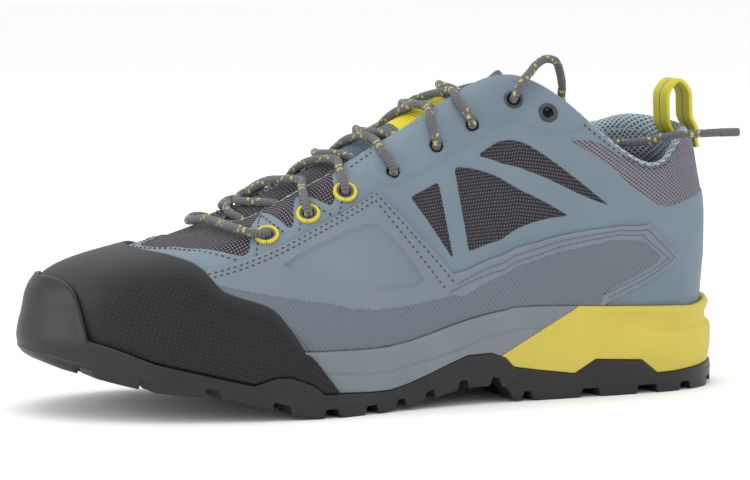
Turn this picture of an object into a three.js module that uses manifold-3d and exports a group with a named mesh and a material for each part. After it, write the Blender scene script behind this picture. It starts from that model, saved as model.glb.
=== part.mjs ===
// A left approach shoe: a low climbing and walking shoe with a rubber toe rand, a stitched side panel,
// a two-colour foam midsole, a lugged rubber outsole and round laces through eight eyelets a side.
// Millimetres. +X to the toe, +Y to the outer side of the foot, +Z up, floor at z = 0, origin under
// the middle of the shoe.
import * as THREE from "three";
import { mergeVertices } from "three/addons/utils/BufferGeometryUtils.js";
import Module from "manifold-3d";

const wasm = await Module();
wasm.setup();

// Driving sizes.
const lastLength = 285; // upper at the sole, heel to toe
const ballWidth = 98; // upper at the sole, widest
const instepHeight = 130; // top of the eyestay above the floor
const seatHeight = 38; // midsole edge under the heel, above the floor
const outsoleRise = 20.2; // highest the outsole climbs in the arch
const toeRoof = 13; // how far the toe box lies below the throat
const wall = 2.4; // upper without padding
const clearance = 0.3; // between pieces that touch
const cupDepth = 5; // how deep the upper stands in the midsole
const heelFlare = 5; // midsole beyond the upper at the back
const sideFlare = 3.2; // midsole beyond the upper at the sides
const toeFlare = 6; // outsole beyond the upper at the tip
const treadDepth = 4;
const randThickness = 1.1;
const panelThickness = 1.1;
const wrapThickness = 1.9; // outsole lip over the rand
const insoleThickness = 4.5;
const tongueThickness = 5;
const laceDiameter = 3.4;
const laceSides = 5;
const eyeletHole = 5; // hole in the upper
const ringWidth = 9.6; // yellow ring, outside
const darkRingWidth = 8.2;
const ringHeight = 1.1;
const tapeWidth = 13;
const tapeThickness = 1.6;
const loopHeight = 19.5; // pull loop above the collar
const loopDepth = 10.5; // between its two limbs

// Stations along the shoe, heel to toe. `at` and `rimAt` are shares of lastLength, `out` and `inn` shares
// of ballWidth to the outer and inner side, `up` shares of instepHeight. The first three give the line
// where the upper meets the sole, the next five the edge of the opening, `box` how square the rib
// between them is, `roof` how much of toeRoof it loses, `bulge` its swelling and `pad` the rim, in mm.
const STATIONS = [
  // at, out, inn | rimAt, rimOut, rimInn, upOut, upInn | box, roof, bulge, pad
  [0.0, 0.0, 0.0, 0.016, 0.0, 0.0, 0.82, 0.82, 2.2, 0.0, 2.2, 7.0],
  [0.045, 0.26, 0.26, 0.06, 0.235, 0.235, 0.785, 0.845, 2.2, 0.0, 2.2, 7.5],
  [0.14, 0.345, 0.335, 0.125, 0.315, 0.31, 0.715, 0.815, 2.1, 0.0, 2.0, 8.0],
  [0.26, 0.36, 0.325, 0.225, 0.27, 0.275, 0.875, 0.86, 1.9, 0.0, 1.5, 7.0],
  [0.385, 0.38, 0.315, 0.325, 0.135, 0.19, 1.0, 0.955, 1.6, 0.0, 1.0, 4.5],
  [0.51, 0.43, 0.35, 0.455, 0.14, 0.175, 0.873, 0.865, 1.65, 0.0, 0.5, 3.0],
  [0.635, 0.5, 0.43, 0.575, 0.15, 0.165, 0.735, 0.735, 1.9, 0.2, 0.5, 2.6],
  [0.765, 0.475, 0.47, 0.665, 0.14, 0.155, 0.635, 0.635, 2.4, 0.6, 0.5, 2.4],
  [0.9, 0.32, 0.41, 0.71, 0.095, 0.115, 0.583, 0.583, 3.5, 0.95, 0.5, 2.4],
  [1.0, -0.06, 0.06, 0.725, -0.02, 0.02, 0.57, 0.57, 4.0, 1.0, 0.5, 2.4],
];
const stationCount = STATIONS.length;
const lastStation = stationCount - 1;
const ringKnots = 2 * lastStation;

// Sole heights. `at` is a share of the sole's length; `tread` and `edge` are shares of seatHeight and
// `thick`, the outsole's side from the tread up to the midsole, of outsoleRise.
const SOLE = [
  // at, tread, thick, edge
  [0.0, 0.07, 0.363, 0.975],
  [0.03, 0.0, 0.47, 0.93],
  [0.066, 0.0, 0.44, 0.905],
  [0.1, 0.0, 0.405, 0.925],
  [0.129, 0.0, 0.395, 0.935],
  [0.154, 0.0, 0.685, 0.945],
  [0.226, 0.0, 0.75, 0.97],
  [0.258, 0.0, 0.485, 0.985],
  [0.308, 0.0, 0.59, 1.0],
  [0.35, 0.02, 0.652, 1.0],
  [0.362, 0.16, 0.579, 0.975],
  [0.385, 0.19, 0.643, 0.95],
  [0.42, 0.185, 0.637, 0.895],
  [0.45, 0.145, 0.562, 0.835],
  [0.48, 0.09, 0.501, 0.77],
  [0.511, 0.05, 0.431, 0.715],
  [0.54, 0.02, 0.392, 0.68],
  [0.57, 0.0, 0.425, 0.672],
  [0.641, 0.0, 0.465, 0.68],
  [0.657, 0.01, 0.641, 0.682],
  [0.686, 0.05, 0.726, 0.69],
  [0.706, 0.095, 0.651, 0.695],
  [0.736, 0.16, 0.389, 0.705],
  [0.768, 0.225, 0.377, 0.72],
  [0.81, 0.275, 0.433, 0.745],
  [0.86, 0.31, 0.537, 0.775],
  [0.91, 0.4, 0.608, 0.81],
  [0.96, 0.5, 0.509, 0.84],
  [1.0, 0.62, 0.334, 0.86],
];

const soleLength = heelFlare + lastLength + toeFlare;
const lerp = THREE.MathUtils.lerp;
const smooth = THREE.MathUtils.smoothstep;

// Piecewise straight reading of a table whose first column is a share of the sole's length.
function readTable(rows, x, column) {
  const share = THREE.MathUtils.clamp(x / soleLength, 0, 1);
  const next = Math.max(1, rows.findIndex((row) => row[0] >= share));
  const [a, b] = [rows[next - 1], rows[next]];
  return lerp(a[column], b[column], (share - a[0]) / (b[0] - a[0]));
}

const treadAt = (x) => readTable(SOLE, x, 1) * seatHeight;
const seamAt = (x) => treadAt(x) + readTable(SOLE, x, 2) * outsoleRise;
const edgeAt = (x) => readTable(SOLE, x, 3) * seatHeight;
// The cup round the upper fades out where the rand takes over at the toe.
const cupAt = (x) => cupDepth * (1 - smooth(x / soleLength, 0.55, 0.66));

// One closed ring of knots: outer side from heel to toe, then inner side back.
function ringOf(pick) {
  const outer = STATIONS.map((row) => pick(row, 1));
  const inner = STATIONS.slice(1, -1).reverse().map((row) => pick(row, -1));
  return [...outer, ...inner];
}

// Periodic cubic spline through equally spaced values, smooth in slope and curvature.
function periodicSpline(values) {
  const n = values.length;
  const slopes = new Array(n).fill(0);
  const settlingRounds = 60;
  for (let round = 0; round < settlingRounds; round++) {
    for (let i = 0; i < n; i++) {
      const [before, after] = [(i + n - 1) % n, (i + 1) % n];
      slopes[i] = (3 * (values[after] - values[before]) - slopes[before] - slopes[after]) / 4;
    }
  }
  return (s) => {
    const cell = Math.floor(s);
    const f = s - cell;
    const [i, j] = [((cell % n) + n) % n, (((cell + 1) % n) + n) % n];
    const rise = values[j] - values[i];
    const a = slopes[i] - rise;
    const b = rise - slopes[j];
    return values[i] + f * rise + f * (1 - f) * ((1 - f) * a + f * b);
  };
}

const lastX = (share) => heelFlare + share * lastLength;
const COLUMN = {
  x: (row) => lastX(row[0]),
  y: (row, side) => (side > 0 ? row[1] : -row[2]) * ballWidth,
  rimX: (row) => lastX(row[3]),
  rimY: (row, side) => (side > 0 ? row[4] : -row[5]) * ballWidth,
  rimZ: (row, side) => (side > 0 ? row[6] : row[7]) * instepHeight,
  box: (row) => row[8],
  roof: (row) => row[9] * toeRoof,
  bulge: (row) => row[10],
  pad: (row) => row[11],
};
const column = Object.fromEntries(
  Object.entries(COLUMN).map(([name, pick]) => [name, periodicSpline(ringOf(pick))]),
);

// Plan direction pointing out of the shoe at station s.
function outward(s) {
  const step = 0.01;
  const tx = column.x(s + step) - column.x(s - step);
  const ty = column.y(s + step) - column.y(s - step);
  return new THREE.Vector3(-ty, tx, 0).normalize();
}

// The upper's outside: a rib from the sole line up to the opening at each station.
const ribSteps = 36;
const roofBend = 2.2;
const ribs = new Map();
function ribAt(s) {
  if (ribs.has(s)) return ribs.get(s);
  const k = Object.fromEntries(Object.keys(column).map((name) => [name, column[name](s)]));
  const foot = edgeAt(k.x) - cupAt(k.x);
  const out = outward(s);
  const points = [];
  for (let i = 0; i <= ribSteps; i++) {
    const turn = (i / ribSteps) * (Math.PI / 2);
    const inward = 1 - Math.pow(Math.max(0, Math.cos(turn)), 2 / k.box);
    const rise = Math.pow(Math.sin(turn), 2 / k.box);
    const roof = k.rimZ - foot - k.roof * (1 - Math.pow(inward, roofBend));
    const swell = k.bulge * Math.sin(Math.PI * rise) ** 2;
    points.push(
      new THREE.Vector3(
        lerp(k.x, k.rimX, inward) + out.x * swell,
        lerp(k.y, k.rimY, inward) + out.y * swell,
        foot + rise * roof,
      ),
    );
  }
  const lengths = [0];
  for (let i = 1; i < points.length; i++) {
    lengths.push(lengths[i - 1] + points[i].distanceTo(points[i - 1]));
  }
  const rib = { points, lengths, total: lengths.at(-1), pad: k.pad };
  ribs.set(s, rib);
  return rib;
}

// Point at station s and share h of the way up the rib, measured along it.
function skin(s, h) {
  const { points, lengths, total } = ribAt(s);
  const along = THREE.MathUtils.clamp(h, 0, 1) * total;
  const next = Math.max(1, lengths.findIndex((length) => length >= along - 1e-9));
  const f = (along - lengths[next - 1]) / (lengths[next] - lengths[next - 1]);
  return points[next - 1].clone().lerp(points[next], f);
}

function skinNormal(s, h) {
  const [ds, dh] = [0.05, 0.02];
  const alongShoe = skin(s + ds, h).sub(skin(s - ds, h));
  const upRib = skin(s, Math.min(1, h + dh)).sub(skin(s, Math.max(0, h - dh)));
  return upRib.cross(alongShoe).normalize();
}

// The skin moved out by `lift`, or in where lift is negative.
const skinOut = (s, h, lift) => skin(s, h).addScaledVector(skinNormal(s, h), lift);

// A closed solid from rings of equal length: each joined to the next, the first and last either
// joined to each other (a hollow wall) or closed by rungs from the outer to the inner side.
function solidFromRings(rings, capped) {
  const n = rings[0].length;
  const vertices = rings.flat();
  const triangles = [];
  const quad = (a, b, c, d) => triangles.push(a, b, c, a, c, d);
  const joins = capped ? rings.length - 1 : rings.length;
  for (let r = 0; r < joins; r++) {
    const [low, high] = [r * n, ((r + 1) % rings.length) * n];
    for (let i = 0; i < n; i++) {
      const j = (i + 1) % n;
      quad(low + i, high + i, high + j, low + j);
    }
  }
  if (capped) {
    const top = (rings.length - 1) * n;
    for (let i = 0; i < n / 2; i++) {
      const [p, q] = [(n - i) % n, n - i - 1];
      quad(i, i + 1, q, p);
      quad(top + i, top + p, top + q, top + i + 1);
    }
  }
  return manifoldOf(vertices, triangles);
}

// A solid sheet over a grid of points: rows of pairs [inside, outside].
function solidFromSheet(rows) {
  const [m, n] = [rows.length, rows[0].length];
  const vertices = [...rows.flat().map((pair) => pair[0]), ...rows.flat().map((pair) => pair[1])];
  const triangles = [];
  const quad = (a, b, c, d) => triangles.push(a, b, c, a, c, d);
  const layer = m * n;
  for (let r = 0; r + 1 < m; r++) {
    for (let i = 0; i + 1 < n; i++) {
      const [a, b, c, d] = [r * n + i, r * n + i + 1, (r + 1) * n + i + 1, (r + 1) * n + i];
      quad(a, b, c, d);
      quad(layer + a, layer + d, layer + c, layer + b);
    }
  }
  const border = [];
  for (let i = 0; i < n - 1; i++) border.push(i);
  for (let r = 0; r < m - 1; r++) border.push(r * n + n - 1);
  for (let i = n - 1; i > 0; i--) border.push((m - 1) * n + i);
  for (let r = m - 1; r > 0; r--) border.push(r * n);
  border.forEach((a, index) => {
    const b = border[(index + 1) % border.length];
    quad(b, a, layer + a, layer + b);
  });
  return manifoldOf(vertices, triangles);
}

function manifoldOf(vertices, triangles) {
  const geometry = new THREE.BufferGeometry();
  const flat = new Float32Array(vertices.flatMap((v) => [v.x, v.y, v.z]));
  geometry.setAttribute("position", new THREE.BufferAttribute(flat, 3));
  geometry.setIndex(triangles);
  return solidOf(geometry);
}

// A three.js geometry as a solid, its faces turned outwards.
function solidOf(geometry) {
  const bare = geometry.clone();
  bare.deleteAttribute("normal");
  bare.deleteAttribute("uv");
  const merged = mergeVertices(bare, 1e-3);
  const faces = new Uint32Array(merged.index.array);
  const make = () =>
    new wasm.Manifold(
      new wasm.Mesh({
        numProp: 3,
        vertProperties: merged.attributes.position.array,
        triVerts: faces,
      }),
    );
  const solid = make();
  if (solid.volume() > 0) return solid;
  for (let i = 0; i < faces.length; i += 3) {
    [faces[i + 1], faces[i + 2]] = [faces[i + 2], faces[i + 1]];
  }
  return make();
}

function geometryOf(solid) {
  const mesh = solid.getMesh();
  const count = mesh.vertProperties.length / mesh.numProp;
  const flat = new Float32Array(count * 3);
  for (let i = 0; i < count; i++) {
    flat.set(mesh.vertProperties.subarray(i * mesh.numProp, i * mesh.numProp + 3), i * 3);
  }
  return new THREE.BufferGeometry()
    .setAttribute("position", new THREE.BufferAttribute(flat, 3))
    .setIndex(new THREE.BufferAttribute(mesh.triVerts, 1));
}

const range = (count) => Array.from({ length: count }, (_, i) => i);
const steps = (low, high, count) => range(count + 1).map((i) => lerp(low, high, i / count));

// Stations used round the upper, and round the sole with its corners added.
const ribsPerStation = 3;
const upperRing = range(ringKnots * ribsPerStation * 2)
  .map((i) => i / ribsPerStation / 2)
  .filter((s, i) => {
    const fromTip = Math.abs(s - lastStation);
    const isTight = fromTip < 1.5 || fromTip > lastStation - 0.8;
    return i % 2 === 0 || isTight;
  });

function stationAtX(x) {
  let [low, high] = [0, lastStation];
  const halvings = 30;
  for (let i = 0; i < halvings; i++) {
    const middle = (low + high) / 2;
    if (column.x(middle) < x) low = middle;
    else high = middle;
  }
  return low;
}

// The same station counted from the heel on either side, 0 to lastStation.
function fromHeel(s) {
  const turned = ((s % ringKnots) + ringKnots) % ringKnots;
  return Math.min(turned, ringKnots - turned);
}

// The sole's rings use the upper's stations, moved to the corners of the SOLE table.
const soleSide = (() => {
  const even = upperRing.filter((s) => s <= lastStation);
  const corners = SOLE.slice(1, -1)
    .map((row) => stationAtX(row[0] * soleLength))
    .filter((s) => s > 0.3 && s < lastStation - 1);
  const tooClose = 0.1;
  const kept = even.filter((s) => corners.every((c) => Math.abs(c - s) > tooClose));
  return [...kept, ...corners].sort((a, b) => a - b);
})();
const soleRing = [...soleSide, ...soleSide.slice(1, -1).reverse().map((s) => ringKnots - s)];

// How far the midsole and the outsole stand out past the upper at station s.
function midsoleReach(s) {
  const k = fromHeel(s);
  const behindBall = lerp(heelFlare - 1.6, sideFlare - 0.6, smooth(k, 0, 2));
  return lerp(behindBall, 1.2, smooth(k, 6.3, 7.3));
}

function outsoleReach(s) {
  const k = fromHeel(s);
  const behindBall = lerp(heelFlare, sideFlare, smooth(k, 0, 2));
  const atBall = lerp(behindBall, sideFlare + 1.6, smooth(k, 5.4, 6));
  return lerp(atBall, toeFlare, smooth(k, 7, lastStation));
}

// A point beside the sole: the upper's foot line moved out level by `reach`, at height z(x).
function besideSole(s, reach, heightOf) {
  const foot = new THREE.Vector3(column.x(s), column.y(s), 0).addScaledVector(outward(s), reach);
  foot.z = heightOf(foot.x);
  return foot;
}

const seamTop = (x) => seamAt(x) + clearance;

// Rand surface: t from -1 to 0 climbs the midsole's side, from 0 to 1 it is the rib share h.
function flankOrSkin(s, t, lift) {
  const reach = midsoleReach(s);
  if (t < 0) return besideSole(s, reach + lift, (x) => lerp(seamTop(x), edgeAt(x), 1 + t));
  const overLip = reach * (1 - smooth(t, 0, 0.12));
  return skinOut(s, t, lift + overLip);
}

// Reads a table of [station, value] rows at station s.
function along(rows, s) {
  const next = rows.findIndex((row) => row[0] >= s);
  if (next < 1) return next < 0 ? rows.at(-1)[1] : rows[0][1];
  const [a, b] = [rows[next - 1], rows[next]];
  return lerp(a[1], b[1], (s - a[0]) / (b[0] - a[0]));
}

// Share of the rib at which it reaches height z.
function shareAtHeight(s, z) {
  const shares = steps(0, 0.5, 100);
  return shares.find((h) => skin(s, h).z >= z) ?? 0.5;
}

const bothRings = [...new Set([...upperRing, ...soleRing])].sort((a, b) => a - b);
const ribShares = [0, 0.08, 0.17, 0.28, 0.4, 0.53, 0.67, 0.8, 0.92, 1];

const coreHeight = 42;

// A layer lying over the upper on the upper's own facets, between two lifts, cut to a region whose
// lower and upper edge are functions of the station.
function layer(surface, ring, shares, between, lifts, region) {
  const [low, high] = between;
  const within = ring.filter((s) => s >= low - 0.34 && s <= high + 0.34);
  const grid = within.map((s) => shares.map((t) => lifts.map((lift) => surface(s, t, lift))));
  const sheet = solidFromSheet(grid);
  const columns = region.stations.filter((s) => s >= low && s <= high);
  const cut = columns.map((s) => {
    const [bottom, top] = [region.bottom(s), region.top(s)];
    const rows = steps(bottom, Math.max(top, bottom + 0.012), 10);
    return rows.map((t) => {
      const onLayer = surface(s, t, lifts[0]);
      const core = new THREE.Vector3(Math.min(onLayer.x, lastX(0.75)), 0, coreHeight);
      return [onLayer.lerp(core, 0.35), surface(s, t, lifts[1] + 4)];
    });
  });
  return sheet.intersect(solidFromSheet(cut));
}

function stationsOf(low, high, rows) {
  const even = steps(low, high, Math.ceil((high - low) / 0.4));
  const tooClose = 0.12;
  const inner = rows.map((row) => row[0]).filter((s) => s > low + tooClose && s < high - tooClose);
  const kept = even.filter((s) => inner.every((c) => Math.abs(c - s) > tooClose));
  return [...new Set([...kept, ...inner])].sort((a, b) => a - b);
}

// Toe rand: top edge as [station, t]; the inner side mirrors the outer.
const RAND_TOP = [
  [5.93, -0.99],
  [6.1, -0.5],
  [6.25, -0.12],
  [6.36, 0.058],
  [6.62, 0.2],
  [6.76, 0.234],
  [7.03, 0.27],
  [7.2, 0.297],
  [7.31, 0.347],
  [7.43, 0.395],
  [7.58, 0.437],
  [7.79, 0.473],
  [8.13, 0.525],
  [8.67, 0.573],
  [9.0, 0.585],
];

// Rubber lip of the outsole over the tip of the rand.
const WRAP_TOP = [
  [8.08, -0.95],
  [8.2, -0.35],
  [8.28, 0.0],
  [8.33, 0.089],
  [8.39, 0.162],
  [8.48, 0.204],
  [8.62, 0.216],
  [9.0, 0.21],
];

// Side panel: top edge and the slanting end at the heel as [station, h].
const PANEL_TOP = [
  [1.45, 0.385],
  [1.94, 0.614],
  [2.36, 0.557],
  [2.95, 0.418],
  [3.39, 0.325],
  [3.84, 0.262],
  [4.28, 0.235],
  [4.46, 0.24],
  [5.47, 0.715],
  [6.4, 0.568],
  [7.42, 0.41],
];
const PANEL_HEEL = [
  [1.45, 0.37],
  [2.53, 0.073],
  [2.6, -1.0],
];

function buildRand() {
  const [low, high] = [RAND_TOP[0][0], ringKnots - RAND_TOP[0][0]];
  const outer = stationsOf(low, lastStation, RAND_TOP);
  const stations = [...outer, ...outer.slice(0, -1).reverse().map((s) => ringKnots - s)];
  const region = {
    stations,
    bottom: () => -1.3,
    top: (s) => along(RAND_TOP, fromHeel(s)),
  };
  const shares = [-1, -0.5, ...ribShares.filter((h) => h < 0.7)];
  const lifts = [clearance, clearance + randThickness];
  return layer(flankOrSkin, bothRings, shares, [low, high], lifts, region);
}

function buildToeWrap() {
  const [low, high] = [WRAP_TOP[0][0], ringKnots - WRAP_TOP[0][0]];
  const outer = stationsOf(low, lastStation, WRAP_TOP);
  const stations = [...outer, ...outer.slice(0, -1).reverse().map((s) => ringKnots - s)];
  const region = {
    stations,
    bottom: () => -1.7,
    top: (s) => along(WRAP_TOP, fromHeel(s)),
  };
  const shares = [-2, -1, -0.5, ...ribShares.filter((h) => h < 0.4)];
  const under = 2 * clearance + randThickness;
  const lifts = [under, under + wrapThickness];
  return layer(flankOrSkin, bothRings, shares, [low, high], lifts, region);
}

function buildPanel(side) {
  const mirror = (s) => (side > 0 ? s : ringKnots - s);
  const [low, high] = [PANEL_TOP[0][0], PANEL_TOP.at(-1)[0]];
  const beside = RAND_TOP.filter((row) => row[0] > 6.2 && row[0] < high);
  const outer = stationsOf(low, high, [...PANEL_TOP, ...beside].sort((a, b) => a[0] - b[0]));
  const lip = (s) => shareAtHeight(s, edgeAt(column.x(s)) + 1);
  const region = {
    stations: outer.map(mirror).sort((a, b) => a - b),
    bottom: (s) => {
      const k = fromHeel(s);
      return Math.max(lip(s), along(PANEL_HEEL, k), along(RAND_TOP, k) + 0.022);
    },
    top: (s) => along(PANEL_TOP, fromHeel(s)),
  };
  const ends = [mirror(low), mirror(high)].sort((a, b) => a - b);
  const lifts = [clearance, clearance + panelThickness];
  const shares = ribShares.filter((h) => h < 0.8);
  return layer(skinOut, upperRing, shares, ends, lifts, region);
}

// Eyelets, bottom to top, as [station, h]: three yellow rings, three bare holes, two dark rings.
const EYELETS = [
  [6.84, 0.628],
  [6.34, 0.697],
  [5.88, 0.759],
  [5.27, 0.774],
  [4.74, 0.785],
  [4.31, 0.795],
  [3.82, 0.877],
  [3.37, 0.888],
];
const yellowRings = 3;
const firstDarkRing = 6;
const lacedEyelets = 7;

// Slots between the lace tabs: [station, h at the bottom, half width in stations].
const SLOTS = [
  [6.56, 0.65, 0.17],
  [6.06, 0.71, 0.14],
];

function turnedTo(direction, solid, at) {
  const up = new THREE.Vector3(0, 0, 1);
  const turn = new THREE.Matrix4().makeRotationFromQuaternion(
    new THREE.Quaternion().setFromUnitVectors(up, direction),
  );
  turn.setPosition(at);
  return solid.transform(turn.elements);
}

function eyeletAt(index, side, lift) {
  const [s, h] = EYELETS[index];
  const station = side > 0 ? s : ringKnots - s;
  return { at: skinOut(station, h, lift), normal: skinNormal(station, h) };
}

function cutSlot([s, bottom, halfWidth], side) {
  const mirror = (k) => (side > 0 ? k : ringKnots - k);
  const depths = steps(bottom, 1, 5);
  const columns = [-1, 1].map((edge) =>
    depths.map((h) => {
      const opening = halfWidth * (0.12 + 0.88 * ((h - bottom) / (1 - bottom)));
      const station = mirror(s + edge * opening);
      return [skinOut(station, h, -9), skinOut(station, h, 3)];
    }),
  );
  const beyond = columns.map((rows) => {
    const [inside, outside] = rows.at(-1);
    const upRib = rows.at(-1)[1].clone().sub(rows.at(-2)[1]).normalize().multiplyScalar(5);
    return [...rows, [inside.clone().add(upRib), outside.clone().add(upRib)]];
  });
  return solidFromSheet(beyond);
}

function buildUpper() {
  const thickness = (s, h) => lerp(wall, ribAt(s).pad, smooth(h, 0.45, 0.85));
  const outer = ribShares.map((h) => upperRing.map((s) => skin(s, h)));
  const lip = upperRing.map((s) => {
    const edge = skin(s, 1);
    const upRib = edge.clone().sub(skin(s, 0.97)).normalize();
    const pad = ribAt(s).pad;
    return edge.addScaledVector(skinNormal(s, 1), -pad / 2).addScaledVector(upRib, pad * 0.3);
  });
  const lining = ribShares.filter((h, i) => i % 2 === 0);
  const inner = lining.map((h) => upperRing.map((s) => skinOut(s, h, -thickness(s, h))));
  const whole = solidFromRings([...outer, lip, ...inner.reverse()], false);
  const cuts = [];
  for (const side of [1, -1]) {
    EYELETS.forEach((_, index) => {
      const { at, normal } = eyeletAt(index, side, -10);
      const drill = wasm.Manifold.cylinder(13, eyeletHole / 2, eyeletHole / 2, 7);
      cuts.push(turnedTo(normal, drill, at));
    });
    SLOTS.forEach((slot) => cuts.push(cutSlot(slot, side)));
  }
  return whole.subtract(wasm.Manifold.union(cuts));
}

// Midsole: bottom on the seam, swelling side at the heel, lip round the upper, floor of the cup.
function buildMidsole() {
  const between = (share) => (x) => lerp(seamTop(x), edgeAt(x), share);
  const swell = (s) => 1.6 * (1 - smooth(fromHeel(s), 1.6, 3));
  const floorAt = (x) => edgeAt(x) - cupAt(x) - 2 * clearance;
  const cupWall = 1.7 * clearance;
  const ring = (reach, heightOf) => soleRing.map((s) => besideSole(s, reach(s), heightOf));
  const ridge = (share) => (s) => midsoleReach(s) + share * swell(s);
  return solidFromRings(
    [
      ring(ridge(0), seamTop),
      ring(ridge(0.9), between(0.25)),
      ring(ridge(1), between(0.5)),
      ring(ridge(-0.7), between(0.62)),
      ring(ridge(-0.7), between(0.84)),
      ring(ridge(0), between(0.9)),
      ring((s) => midsoleReach(s) - 0.8, edgeAt),
      ring(() => cupWall, edgeAt),
      ring(() => cupWall, floorAt),
    ],
    true,
  );
}

// The yellow heel block: everything behind a slanting cut across the midsole.
const HEEL_CUT = { topX: 75, bottomX: 111, topZ: 37, bottomZ: 18 };
function cutMidsole(midsole) {
  const { topX, bottomX, topZ, bottomZ } = HEEL_CUT;
  const along2d = new THREE.Vector2(topX - bottomX, topZ - bottomZ).normalize();
  const normal = [along2d.y, 0, -along2d.x];
  const offset = normal[0] * topX + normal[2] * topZ;
  const front = midsole.trimByPlane(normal, offset + clearance / 2);
  const heel = midsole.trimByPlane(normal.map((v) => -v), -offset + clearance / 2);
  return { front, heel };
}

// Notches between the lugs: [share of the sole's length, width], cut in from both edges.
const NOTCHES = [
  [0.027, 3.2],
  [0.082, 4.6],
  [0.146, 8.7],
  [0.234, 8.0],
  [0.33, 3.6],
  [0.378, 3.6],
  [0.428, 3.6],
  [0.479, 3.6],
  [0.524, 3.6],
  [0.57, 5.0],
  [0.631, 5.6],
  [0.7, 6.5],
  [0.79, 5.0],
  [0.87, 4.0],
  [0.935, 4.0],
];

function buildOutsole() {
  const ring = (heightOf) => soleRing.map((s) => besideSole(s, outsoleReach(s), heightOf));
  const plate = solidFromRings([ring(treadAt), ring(seamAt)], true);
  const cuts = [];
  const box = (width, length) =>
    wasm.Manifold.cube([width, length, 60], true).translate([0, 0, -30]);
  NOTCHES.forEach(([share, width]) => {
    const x = share * soleLength;
    const s = stationAtX(x);
    const depth = treadDepth * 0.9;
    for (const side of [1, -1]) {
      const edge = column.y(side > 0 ? s : ringKnots - s);
      const across = Math.abs(edge) * 0.8;
      const slant = side * 14;
      const cut = box(width, across)
        .rotate([0, 0, slant])
        .translate([x, edge - side * (across / 2 - 8), treadAt(x) + depth]);
      cuts.push(cut);
    }
  });
  return plate.subtract(wasm.Manifold.union(cuts)).add(buildToeWrap());
}

// Insole: fills the upper's bottom.
function buildInsole() {
  const floorAt = (x) => edgeAt(x) - cupAt(x);
  const ring = (reach, up) =>
    upperRing.map((s) => besideSole(s, -(wall + clearance + reach), (x) => floorAt(x) + up));
  const rings = [ring(1.2, 0), ring(0.9, insoleThickness - 1), ring(1.8, insoleThickness)];
  return solidFromRings(rings, true);
}

// Tongue: follows the upper's inside on both edges and arches across the throat.
function tonguePoint(s, across, drop) {
  const under = (side) => {
    const station = side > 0 ? s : ringKnots - s;
    const depth = ribAt(station).pad + clearance + 1.2 + drop;
    return (h) => skinOut(station, h, -depth);
  };
  const [outer, inner] = [under(1), under(-1)];
  const edgeShare = 0.42; // part of the half width that lies under the upper
  const tucked = Math.abs(across) > 1 - edgeShare;
  const hAt = (share) => lerp(1, 0.86, (share - (1 - edgeShare)) / edgeShare);
  if (tucked) return across > 0 ? outer(hAt(across)) : inner(hAt(-across));
  const [a, b] = [outer(1), inner(1)];
  const f = (1 + across / (1 - edgeShare)) / 2;
  const crown = 5.5 * (1 - (2 * f - 1) ** 2);
  return b.lerp(a, f).add(new THREE.Vector3(0.2, 0, 1).multiplyScalar(crown));
}

function buildTongue() {
  const acrossSteps = steps(-1, 1, 10);
  const rows = steps(7.9, 4.05, 12).map((s) =>
    acrossSteps.map((v) => [tonguePoint(s, v, tongueThickness), tonguePoint(s, v, 0)]),
  );
  const rise = new THREE.Vector3(-0.8, 0, 0.6);
  const top = [3, 6].map((reach, index) =>
    rows.at(-1).map((pair, i) => {
      const narrow = 1 - 0.18 * (index + 1);
      return pair.map((point) => {
        const moved = point.clone().addScaledVector(rise, reach * (1 - Math.abs(acrossSteps[i]) ** 3));
        moved.y *= narrow;
        return moved;
      });
    }),
  );
  return solidFromSheet([...rows, ...top]);
}

// A ring round an eyelet, its top edge rounded off.
function buildRing(index, side, width) {
  const { at, normal } = eyeletAt(index, side, clearance + 0.1);
  const [inside, outside] = [eyeletHole / 2 - 0.2, width / 2];
  const middle = (inside + outside) / 2;
  const profile = [
    [inside, 0],
    [outside, 0],
    [outside, ringHeight * 0.5],
    [middle, ringHeight],
    [inside, 0],
  ].map(([r, z]) => new THREE.Vector2(r, z));
  const ring = solidOf(new THREE.LatheGeometry(profile, 10).rotateX(Math.PI / 2));
  return turnedTo(normal, ring, at);
}

// A round cord along a smooth curve through points, closed at both ends.
function cordAlong(points, pieces, sides = laceSides) {
  const curve = new THREE.CatmullRomCurve3(points, false, "centripetal");
  const path = curve.getSpacedPoints(pieces);
  const frames = curve.computeFrenetFrames(pieces, false);
  const rings = path.map((at, i) =>
    range(sides).map((k) => {
      const turn = ((k + 0.5) / sides) * 2 * Math.PI;
      return at
        .clone()
        .addScaledVector(frames.normals[i], (Math.cos(turn) * laceDiameter) / 2)
        .addScaledVector(frames.binormals[i], (Math.sin(turn) * laceDiameter) / 2);
    }),
  );
  return solidFromRings(rings, true);
}

// One strand from an eyelet on one side over both rims to an eyelet on the other.
function strand(fromIndex, toIndex, side, extra) {
  const lift = ringHeight + clearance + laceDiameter / 2 + 1.25;
  const start = eyeletAt(fromIndex, side, lift).at;
  const end = eyeletAt(toIndex, -side, lift).at;
  const overRim = (index, other, at) => {
    const s = lerp(EYELETS[index][0], EYELETS[other][0], 0.3);
    return skinOut(at > 0 ? s : ringKnots - s, 0.97, lift - 0.7);
  };
  const rimA = overRim(fromIndex, toIndex, side);
  const rimB = overRim(toIndex, fromIndex, -side);
  const middle = rimA.clone().lerp(rimB, 0.5).add(new THREE.Vector3(0, 0, 1.6 + extra));
  // The top pair goes under the upper's edge, so it stops at the edge.
  const isTop = toIndex === lacedEyelets - 1;
  const finish = isTop ? [rimB.lerp(middle, 0.45)] : [rimB, end];
  return cordAlong([start, rimA, middle, ...finish], 6);
}

function buildLaces() {
  const strands = [strand(0, 0, 1, 0)];
  for (let i = 0; i + 1 < lacedEyelets; i++) {
    strands.push(strand(i, i + 1, 1, 1.4), strand(i, i + 1, -1, 0));
  }
  return wasm.Manifold.union(strands);
}

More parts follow.
